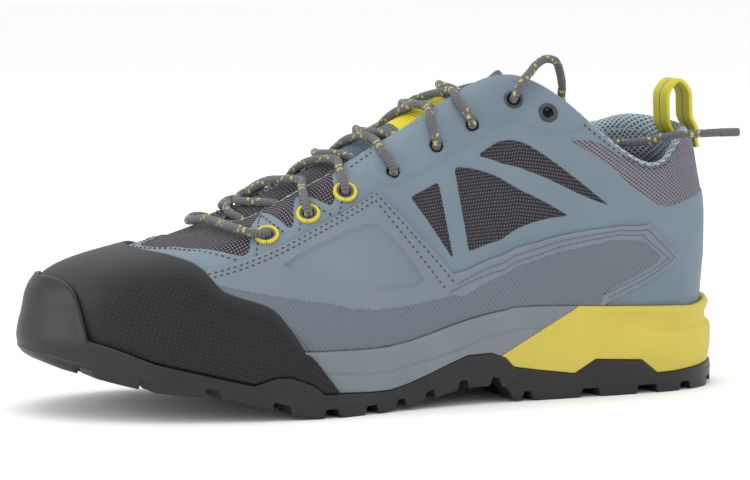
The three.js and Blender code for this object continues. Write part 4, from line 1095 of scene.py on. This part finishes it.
arrow = (x + 0.55 * np.abs(y - middle_y)) % 13.0
chevron = np.minimum(np.minimum(arrow - 1.2, 9.4 - arrow), from_edge - 17.5)
chevron = np.minimum(chevron, np.abs(np.abs(y - middle_y) - 9.0) - 1.1)
arch = smooth(np.abs(x / SOLE_LENGTH - 0.43), 0.055, 0.075) * 2 - 1
lugs = np.maximum(edge_lug, np.minimum(chevron, arch * 6))
plan[..., 2] = tread_at(x) + LUG * (1 - smooth(lugs, -0.1, 0.8))
print("tread points:", plan.shape[0] * plan.shape[1])

# %% Outsole: the tread and the rings of its side
rim_s = np.concatenate([line_s, (ROUND - line_s)[::-1][1:-1]])
lines, wide = plan.shape[:2]
rim_index = [i * wide + wide - 1 for i in range(lines)] + [i * wide for i in range(lines - 2, 0, -1)]
points = plan.reshape(-1, 3)
tread_edge = points[rim_index, 2]
wall_rows = []
for k, up in enumerate((0.7, 1.5, 2.5)):
    row = wall(rim_s, np.full(len(rim_s), up))
    row[:, 2] = np.maximum(row[:, 2], tread_edge + 0.02 * (k + 1))
    wall_rows.append(row)
behind_toe = 1 - smooth(from_heel(rim_s), 7.3, 7.9)
for share, out_by in ((0.05, 0.0), (0.3, 0.1), (0.5, 0.15), (0.62, 0.0), (0.7, -0.35), (0.78, -0.1),
                      (0.9, -0.1), (0.97, -0.3), (1.0, -0.8)):
    hidden = 1.0 * (1 - behind_toe) * smooth(share, 0, 0.45)
    wall_rows.append(wall(rim_s, LUG, out_by * behind_toe - hidden, share))
wall_rows.append(beside(rim_s, midsole_reach(rim_s) - 1.5, seam_at))
faces, ring = grid_faces(lines, wide), rim_index
for row in wall_rows:
    start = len(points)
    points = np.vstack([points, row])
    after = list(range(start, start + len(row)))
    faces += list(zip(ring, ring[1:] + ring[:1], after[1:] + after[:1], after))
    ring = after
make_piece("outsole_rubber", points, faces, sole_rubber, ["outsole"])

# %% [markdown]
# The outsole climbs over the toe as one smooth bumper with a thin raised lip, and its edge sweeps down into
# the line between sole and rand.

# %% Toe bumper of the outsole
BUMPER_TOP = rounded([(7.55, -1.04), (7.88, -.93), (8.09, -.62), (8.21, -.28), (8.28, -.02), (8.34, .08),
                      (8.39, .145), (8.46, .19), (8.6, .217), (8.83, .22), (9, .21)], closed=False)
# With this lift the bumper is level with the outsole's side. Above the outsole's top it draws in over some
# millimetres of climb. At the toe the midsole's side is about 2.4 mm high and a rib 75 mm long.
FLUSH, DRAW_IN, FOAM_SIDE, RIB_RUN = 3.3, 11.0, 2.4, 75.0


def bumper(s, t, lift):
    """t from -2 to -1 climbs the outsole's side, from there to 0 the midsole's, and then the rib."""
    s, t, lift = np.broadcast_arrays(s, t, np.asarray(lift, float))
    sunk = 0.5 * smooth(-t, 1.0, 1.75) + 0.9 * (1 - smooth(from_heel(s), 7.55, 7.95))
    low = wall(s, 0, lift - FLUSH - sunk, (t + 2).clip(0, 1))
    climbed = np.where(t < 0, (1 + t) * FOAM_SIDE, FOAM_SIDE + t * RIB_RUN)
    lift = lift + (outsole_reach(s) - midsole_reach(s) - FLUSH - sunk) * (1 - smooth(climbed, 0, DRAW_IN))
    side = beside(s, midsole_reach(s) + lift, lambda x: edge_at(foot_x(s)) * (1 + t) - seam_at(x) * t)
    return np.where((t < -1)[..., None], low, np.where((t < 0)[..., None], side, flank(s, t, lift)))


s, h = curtain(lambda s: -1.75 + 0 * s, lambda s: read_line(BUMPER_TOP, from_heel(s)),
               7.55, ROUND - 7.55, 230, 76)
layer_piece("toe_bumper", s, h, bumper, 2.2, 3.6, sole_rubber, [], lip=0.3)

# %% [markdown]
# ## Midsole
# The midsole is injected foam in two colours, matt with a faint skin. Its side is a profile of rows from the
# outsole to the upper, with a fine groove, and at the heel a ridge between two hollows. It is made in one
# and then cut on the slanting joint between grey and yellow.

# %% Foam finishes
# Moulded EVA foam has a closed skin that keeps the grain of its mould, about 0.45 mm, and a soft shine.
foams = []
for name, dark, light in (("grey_moulded_eva", "#6b7379", "#7b8489"),
                          ("yellow_moulded_eva", "#bdad45", "#cebe55")):
    foam, tree = new_finish(name)
    place = node(tree, "TexCoord", out="Object")
    clouds = node(tree, "TexNoise", {"Vector": place, "Scale": 45.0, "Detail": 4.0})
    colour = node(tree, "Mix", {0: clouds, 6: linear(dark), 7: linear(light)}, 2, data_type="RGBA")
    grain = node(tree, "TexVoronoi", {"Vector": place, "Scale": 1000 / 0.45})
    relief = node(tree, "Bump", {"Height": grain, "Distance": 0.00007, "Strength": 0.7})
    node(tree, "OutputMaterial", {0: node(tree, "BsdfPrincipled", {
        "Base Color": colour, "Normal": relief, "Roughness": 0.6, "Specular IOR Level": 0.35})})
    foams.append(foam)
print("foams:", [foam.name for foam in foams])

# %% Midsole rows
GROOVE = np.array([(60, 29.2), (89, 29.2), (96, 29.2), (105, 28.5), (119, 25.6), (125, 23.1), (142, 19.1),
                   (160, 15.9), (169, 15.6), (187, 17), (300, 17)])
PROFILE_AT = [0, 0.1, 0.25, 0.5, 0.58, 0.66, 0.8, 0.86, 0.92, 1]
PROFILE_OUT = [0.2, 0.8, 1.3, 1.5, 1.1, -0.9, -1.0, -0.2, 0.5, 0.2]
heel_swell = 1 - smooth(from_heel(rim_s), 1.7, 3)
rows = []
for f in np.concatenate([np.linspace(0, 0.97, 44), [1.0]]):
    reach = midsole_reach(rim_s) + heel_swell * np.interp(f, PROFILE_AT, PROFILE_OUT)
    reach = reach - 0.8 * smooth(f, 0.93, 1.0)
    row = beside(rim_s, reach, lambda x: foam_low(x) + (edge_at(x) - foam_low(x)) * f)
    cut_in = 0.45 * np.exp(-(((row[:, 2] - np.interp(row[:, 0], GROOVE[:, 0], GROOVE[:, 1])) / 0.5) ** 2))
    cut_in *= smooth(row[:, 0], 84, 92)
    ox, oy = outward(rim_s)
    row[:, 0] -= ox * cut_in
    row[:, 1] -= oy * cut_in
    rows.append(row)
rows.append(beside(rim_s, 0.5 + 0 * rim_s, edge_at))
rows.append(beside(rim_s, 0.5 + 0 * rim_s, lambda x: edge_at(x) - cup_at(x) - 0.6))
rows = np.array(rows)


def capped(row_count, count):
    """Faces of closed rows, with the first and last row filled by strips across the shoe."""
    faces = grid_faces(row_count, count, closed=True)
    for first in (0, (row_count - 1) * count):
        for i in range(count // 2):
            corners = list(dict.fromkeys((i, i + 1, count - i - 1, (count - i) % count)))
            if len(corners) > 2:
                faces.append([first + k for k in corners])
    return faces


print("midsole rows:", rows.shape)

# %% The two foams, cut on the slanting joint
HEEL_CUT_TOP, HEEL_CUT_LOW = (75.0, 37.0), (111.0, 18.0)
slope = Vector((HEEL_CUT_TOP[0] - HEEL_CUT_LOW[0], 0, HEEL_CUT_TOP[1] - HEEL_CUT_LOW[1])).normalized()
cut_normal = Vector((slope.z, 0, -slope.x))
cut_point = Vector(to_row([HEEL_CUT_TOP[0], 0, HEEL_CUT_TOP[1]]))
for name, finish, slot_name, node_name, way in (
        ("midsole_grey_foam", foams[0], "midsole_grey", "midsole_front", 1),
        ("midsole_yellow_foam", foams[1], "midsole_yellow", "midsole_heel", -1)):
    piece = make_piece(name, rows, capped(*rows.shape[:2]), finish, [node_name])
    work = bmesh.new()
    work.from_mesh(piece.data)
    at = cut_point + cut_normal * way * 0.00012
    everything = work.verts[:] + work.edges[:] + work.faces[:]
    cut = bmesh.ops.bisect_plane(work, geom=everything, plane_co=at, plane_no=cut_normal * way,
                                 clear_inner=True)
    open_edges = [e for e in cut["geom_cut"] if isinstance(e, bmesh.types.BMEdge)]
    bmesh.ops.holes_fill(work, edges=open_edges)
    work.to_mesh(piece.data)
    work.free()

# %% [markdown]
# ## Eyelets
# The three lower eyelets are rings of yellow thread sewn round a hole; the top two are dark pressed metal.
# The three between are bare holes. All are turned profiles set square to the upper.

# %% Eyelet finish: wound thread
# Wound thread is ribbed across the ring, about 30 turns, and has a soft shine.
yellow_thread, tree = new_finish("wound_yellow_thread")
turned = node(tree, "Attribute", out="Fac", attribute_name="round")
wraps = node(tree, "Math", {0: turned, 1: 30.0}, operation="MULTIPLY")
wraps = node(tree, "Math", {0: wraps}, operation="SINE")
shade = node(tree, "MapRange", {0: wraps, 1: -1.0, 2: 1.0})
colour = node(tree, "Mix", {0: shade, 6: linear("#c5b41c"), 7: linear("#e3d534")}, 2, data_type="RGBA")
relief = node(tree, "Bump", {"Height": wraps, "Distance": 0.00012, "Strength": 0.7})
node(tree, "OutputMaterial", {0: node(tree, "BsdfPrincipled", {
    "Base Color": colour, "Normal": relief, "Roughness": 0.55})})


# %% Rings and holes
def turned_piece(name, profile, s, h, side, finish, slot_name, replaces=(), sides=40):
    """A profile of (radius, height) turned round the normal of the upper."""
    s = np.array([s if side > 0 else ROUND - s])
    centre, up = skin(s, np.array([h]))[0], skin_normal(s, np.array([h]))[0]
    a = unit(np.cross(up, [1.0, 0, 0.3]))
    turn = np.arange(sides) * 2 * math.pi / sides
    spoke = a * np.cos(turn)[:, None] + np.cross(up, a) * np.sin(turn)[:, None]
    points = np.array([centre + up * z + r * spoke for r, z in profile]).reshape(-1, 3)
    return make_piece(name, points, grid_faces(len(profile), sides, closed=True), finish, replaces,
                      {"round": np.tile(turn, len(profile))})


HOLE = [(2.75, 0.15), (2.45, 0.1), (2.2, -0.7), (2.0, -1.5), (0.05, -1.5)]
YELLOW_RING = [(3.3, 0.3), (3.45, 0.85), (3.8, 1.1), (4.3, 1.1), (4.65, 0.8), (4.8, 0.25), (4.8, -0.2)]
RING_CLOTH = [(3.5, 0.5), (2.9, 0.65), (2.4, 0.5), (2.2, 0.1), (2.1, -0.8)]
DARK_RING = [(2.0, -1.2), (2.15, 0.4), (2.5, 0.9), (3.1, 1.1), (3.7, 0.9), (4.1, 0.4), (4.1, -0.1)]
for side, word in SIDES:
    for number, at in enumerate(EYELETS, 1):
        which, node_name = f"{word}_{number}", f"eyelet_{word}_{number}"
        # The hole's wall and floor are nearly black: painted shade in the hole.
        turned_piece(f"hole_{which}", HOLE, *at, side, plain["hole_painted_shade"], "eyelet_dark")
        if number <= 3:
            turned_piece(f"ring_{which}", YELLOW_RING, *at, side, yellow_thread, "eyelet_yellow", [node_name])
            turned_piece(f"ring_cloth_{which}", RING_CLOTH, *at, side, plain["grey_backing_cloth"],
                         "eyelet_dark")
        if number >= 7:
            turned_piece(f"ring_{which}", DARK_RING, *at, side, plain["black_plated_brass"], "eyelet_dark",
                         [node_name])

# %% [markdown]
# ## Tongue
# The tongue is foam between an outer cloth and a lining. Toward the toe it is the dark air mesh, farther up a
# pale textile, and a plain yellow patch lies under the laces. It arches across the throat and tucks under
# both edges.

# %% Tongue finish: air mesh, textile and a woven patch
tongue_cloth, tree = new_finish("tongue_air_mesh")
cloth = node(tree, "Attribute", out="Vector", attribute_name="cloth")
dots = node(tree, "Math", {0: threads(tree, cloth, 1.4, 5), 1: threads(tree, cloth, 1.3, 92)},
            operation="MINIMUM")
bright = node(tree, "MapRange", {0: dots, 1: -0.1, 2: 0.6})
dark_mesh = node(tree, "Mix", {0: bright, 6: linear("#2a272b"), 7: linear("#7c7577")}, 2, data_type="RGBA")
pale_mesh = node(tree, "Mix", {0: bright, 6: linear("#475762"), 7: linear("#8597a2")}, 2, data_type="RGBA")
is_pale = node(tree, "Attribute", out="Fac", attribute_name="pale")
is_pale = node(tree, "MapRange", {0: is_pale, 1: -0.3, 2: 0.3})
in_patch = node(tree, "Attribute", out="Fac", attribute_name="patch")
in_patch = node(tree, "MapRange", {0: in_patch, 1: 0.2, 2: -0.2})
colour = node(tree, "Mix", {0: is_pale, 6: dark_mesh, 7: pale_mesh}, 2, data_type="RGBA")
colour = node(tree, "Mix", {0: in_patch, 6: colour, 7: linear("#dccb2c")}, 2, data_type="RGBA")
relief = node(tree, "Bump", {"Height": dots, "Distance": 0.0003, "Strength": 0.8})
node(tree, "OutputMaterial", {0: node(tree, "BsdfPrincipled", {
    "Base Color": colour, "Normal": relief, "Roughness": 0.88})})

# %% Tongue
ACROSS, EDGE_SHARE, TONGUE_THICK = 61, 0.42, 5.0
v = np.linspace(-1, 1, ACROSS)
share = np.abs(v)
tucked = share > 1 - EDGE_SHARE
tuck_h = np.where(tucked, 1 - 0.14 * (share - 1 + EDGE_SHARE) / EDGE_SHARE, 1.0)
f = ((1 + v / (1 - EDGE_SHARE)) / 2).clip(0, 1)[:, None]
layers = []
for drop in (0.0, TONGUE_THICK):
    sheet = []
    for s in np.linspace(8.85, 4.05, 150):
        depth = -float(padding(np.array([s]))[0]) - 1.5 - drop
        outer_row = skin_out(np.full(ACROSS, s), tuck_h, np.full(ACROSS, depth))
        inner_row = skin_out(np.full(ACROSS, ROUND - s), tuck_h, np.full(ACROSS, depth))
        crown = 5.5 * min(1, (9.05 - s) / 0.8) * (1 - (2 * f - 1) ** 2)
        between = inner_row[ACROSS // 2] * (1 - f) + outer_row[ACROSS // 2] * f + crown * np.array([0.2, 0, 1])
        sides = np.where((v > 0)[:, None], outer_row, inner_row)
        sheet.append(np.where(tucked[:, None], sides, between))
    for reach in np.linspace(0.6, 6, 10):
        row = sheet[149] + np.array([-0.8, 0, 0.6]) * reach * (1 - np.abs(v) ** 3)[:, None]
        sheet.append(row * [1, 1 - 0.06 * reach, 1])
    layers.append(np.array(sheet))
top, low = layers
# Soft creases run across the tongue where the laces press it.
crease = 0.35 * np.sin(np.linspace(0, 46, len(top)))[:, None] * (1 - v ** 2)[None, :]
top[..., 2] += crease
tongue_run = run_along(top[:, ACROSS // 2])
at = np.stack([np.tile(v * 26, (len(top), 1)), np.repeat(tongue_run[:, None], ACROSS, 1), 0 * crease], 2)
patch = np.maximum(np.abs(at[..., 1] - 92.5) - 12, np.abs(at[..., 0]) - 14)
pale = at[..., 1] - 50 + 3 * np.cos(at[..., 0] / 6)
fields = {"cloth": np.tile(at.reshape(-1, 3), (2, 1)), "patch": np.tile(patch.ravel(), 2),
          "pale": np.tile(pale.ravel(), 2)}
tongue = make_piece("tongue_padded", np.concatenate([top.reshape(-1, 3), low.reshape(-1, 3)]),
                    two_sided(len(top), ACROSS), tongue_cloth, ["tongue"], fields)

# %% [markdown]
# ## Insole
# A moulded foam footbed with a dark knit top. Its edge turns up, so that the heel lies in a dish.

# %% Insole
knit, tree = new_finish("knit_footbed_cover")
# The loops of the knit are 1.1 mm, and the cover has no shine at all.
loops = node(tree, "TexVoronoi", {"Vector": node(tree, "TexCoord", out="Object"), "Scale": 1000 / 1.1})
colour = node(tree, "Mix", {0: loops, 6: linear("#3f4044"), 7: linear("#67686d")}, 2, data_type="RGBA")
relief = node(tree, "Bump", {"Height": loops, "Distance": 0.0003, "Strength": 0.7})
node(tree, "OutputMaterial", {0: node(tree, "BsdfPrincipled", {
    "Base Color": colour, "Normal": relief, "Roughness": 0.95})})
footbed = np.array([beside(rim_s, np.full(len(rim_s), reach), lambda x: edge_at(x) - cup_at(x) + up)
                    for reach, up in ((-3.9, 0.0), (-3.6, 3.5), (-4.2, 5.6), (-6.5, 4.9), (-10, 4.5))])
make_piece("insole_footbed", footbed, capped(*footbed.shape[:2]), knit, ["insole"])

# %% [markdown]
# ## Pull loop
# A lime webbing tape, folded and sewn to the collar at the heel: one limb into the padded roll, the other
# down the outside. Webbing has a coarse weave and a dark line of stitching down the middle.

# %% Webbing finish: woven polypropylene tape, ribs 1 mm apart, with a slight shine
webbing, tree = new_finish("woven_polypropylene_tape")
cloth = node(tree, "Attribute", out="Vector", attribute_name="cloth")
web = node(tree, "Math", {0: threads(tree, cloth, 1.0, 0), 1: threads(tree, cloth, 1.3, 90)},
           operation="MULTIPLY")
shade = node(tree, "MapRange", {0: web, 1: -0.9, 2: 0.9})
lime = node(tree, "Mix", {0: shade, 6: linear("#b9b01f"), 7: linear("#ded43a")}, 2, data_type="RGBA")
aside = node(tree, "Math", {0: node(tree, "SeparateXYZ", {0: cloth})}, operation="ABSOLUTE")
in_seam = node(tree, "MapRange", {0: aside, 1: 0.5, 2: 0.2})
colour = node(tree, "Mix", {0: in_seam, 6: lime, 7: linear("#5d5520")}, 2, data_type="RGBA")
relief = node(tree, "Bump", {"Height": web, "Distance": 0.0003, "Strength": 0.8})
node(tree, "OutputMaterial", {0: node(tree, "BsdfPrincipled", {
    "Base Color": colour, "Normal": relief, "Roughness": 0.65})})

# %% The loop
rim0, pad0 = skin(np.array([0.0]), np.array([1.0]))[0], float(padding(np.array([0.0]))[0])
front_x = rim0[0] + pad0 + 3.4
back_x, foot_z, top_z = front_x - 10.5, rim0[2] + 1.5, rim0[2] + 19.5
low_x, mid_x = skin_out(np.zeros(2), np.array([0.88, 0.94]), np.full(2, 0.95))[:, 0]
loop_line = [(low_x, rim0[2] - 8.5), (mid_x, rim0[2] - 4.5), (mid_x - 0.1, rim0[2] - 0.5),
             (back_x - 0.4, foot_z + 2.5), (back_x, foot_z + 7), (back_x + 0.6, foot_z + 13.5),
             ((front_x + back_x) / 2, top_z), (front_x - 0.4, foot_z + 13.5), (front_x, foot_z + 6.3),
             (front_x - 0.6, foot_z), (front_x - 2.5, foot_z - 3.5)]
loop_path = smooth_path([(x, 0, z) for x, z in loop_line], 0.5)
way = unit(np.gradient(loop_path, axis=0))
square = np.stack([-way[:, 2], 0 * way[:, 0], way[:, 0]], 1)
run = run_along(loop_path)
wide = np.linspace(-6.3, 6.3, 22)
section = [(-6.5, 0.4), (-6.5, -0.4)] + [(y, -0.8) for y in wide]
section += [(6.5, -0.4), (6.5, 0.4)] + [(y, 0.8) for y in wide[::-1]]
points = np.stack([loop_path + square * z + np.array([0, y, 0]) for y, z in section], 1)
field = np.stack([np.broadcast_to([y for y, z in section], points.shape[:2]),
                  np.broadcast_to(run[:, None], points.shape[:2]), np.zeros(points.shape[:2])], 2)
make_piece("heel_loop_webbing", points, tube_faces(len(loop_path), len(section)), webbing,
           ["heel_loop"], {"cloth": field})

# %% [markdown]
# ## Floor and light
# A product photograph has a white sweep and large soft lamps. The floor is a plain plane under an even white
# sky, and three area lamps add the brighter tops and the soft shine: one over the shoe and one to each side.

# %% Floor: matt white paper
paper, tree = new_finish("white_paper")
node(tree, "OutputMaterial", {0: node(tree, "BsdfPrincipled", {
    "Base Color": (0.97, 0.97, 0.97, 1), "Roughness": 0.9})})
sweep = bpy.data.meshes.new("floor")
sweep.from_pydata([(-6, -6, 0), (6, -6, 0), (6, 6, 0), (-6, 6, 0)], [], [(0, 1, 2, 3)])
sweep.materials.append(paper)
floor = bpy.data.objects.new("floor", sweep)
bpy.context.scene.collection.objects.link(floor)

# %% Lamps and sky
for name, place, size, watts in (("overhead", (0.0, -0.1, 1.5), 1.4, 8), ("toe_side", (1.5, 0.1, 0.5), 0.9, 7),
                                 ("heel_side", (-1.3, 0.5, 0.7), 1.0, 1.5)):
    lamp = bpy.data.lights.new(name, "AREA")
    lamp.size, lamp.energy = size, watts
    lamp_object = bpy.data.objects.new(name, lamp)
    lamp_object.location = place
    lamp_object.rotation_euler = (Vector(place) - Vector((0, 0, 0.05))).to_track_quat("Z", "Y").to_euler()
    bpy.context.scene.collection.objects.link(lamp_object)
bpy.context.scene.view_settings.view_transform = "Standard"
world = bpy.data.worlds.new("studio")
bpy.context.scene.world = world
world.use_nodes = True
sky = world.node_tree.nodes["Background"]
sky.inputs["Color"].default_value = (1, 1, 1, 1)
sky.inputs["Strength"].default_value = 1.0
print("lamps:", len(bpy.data.lights))
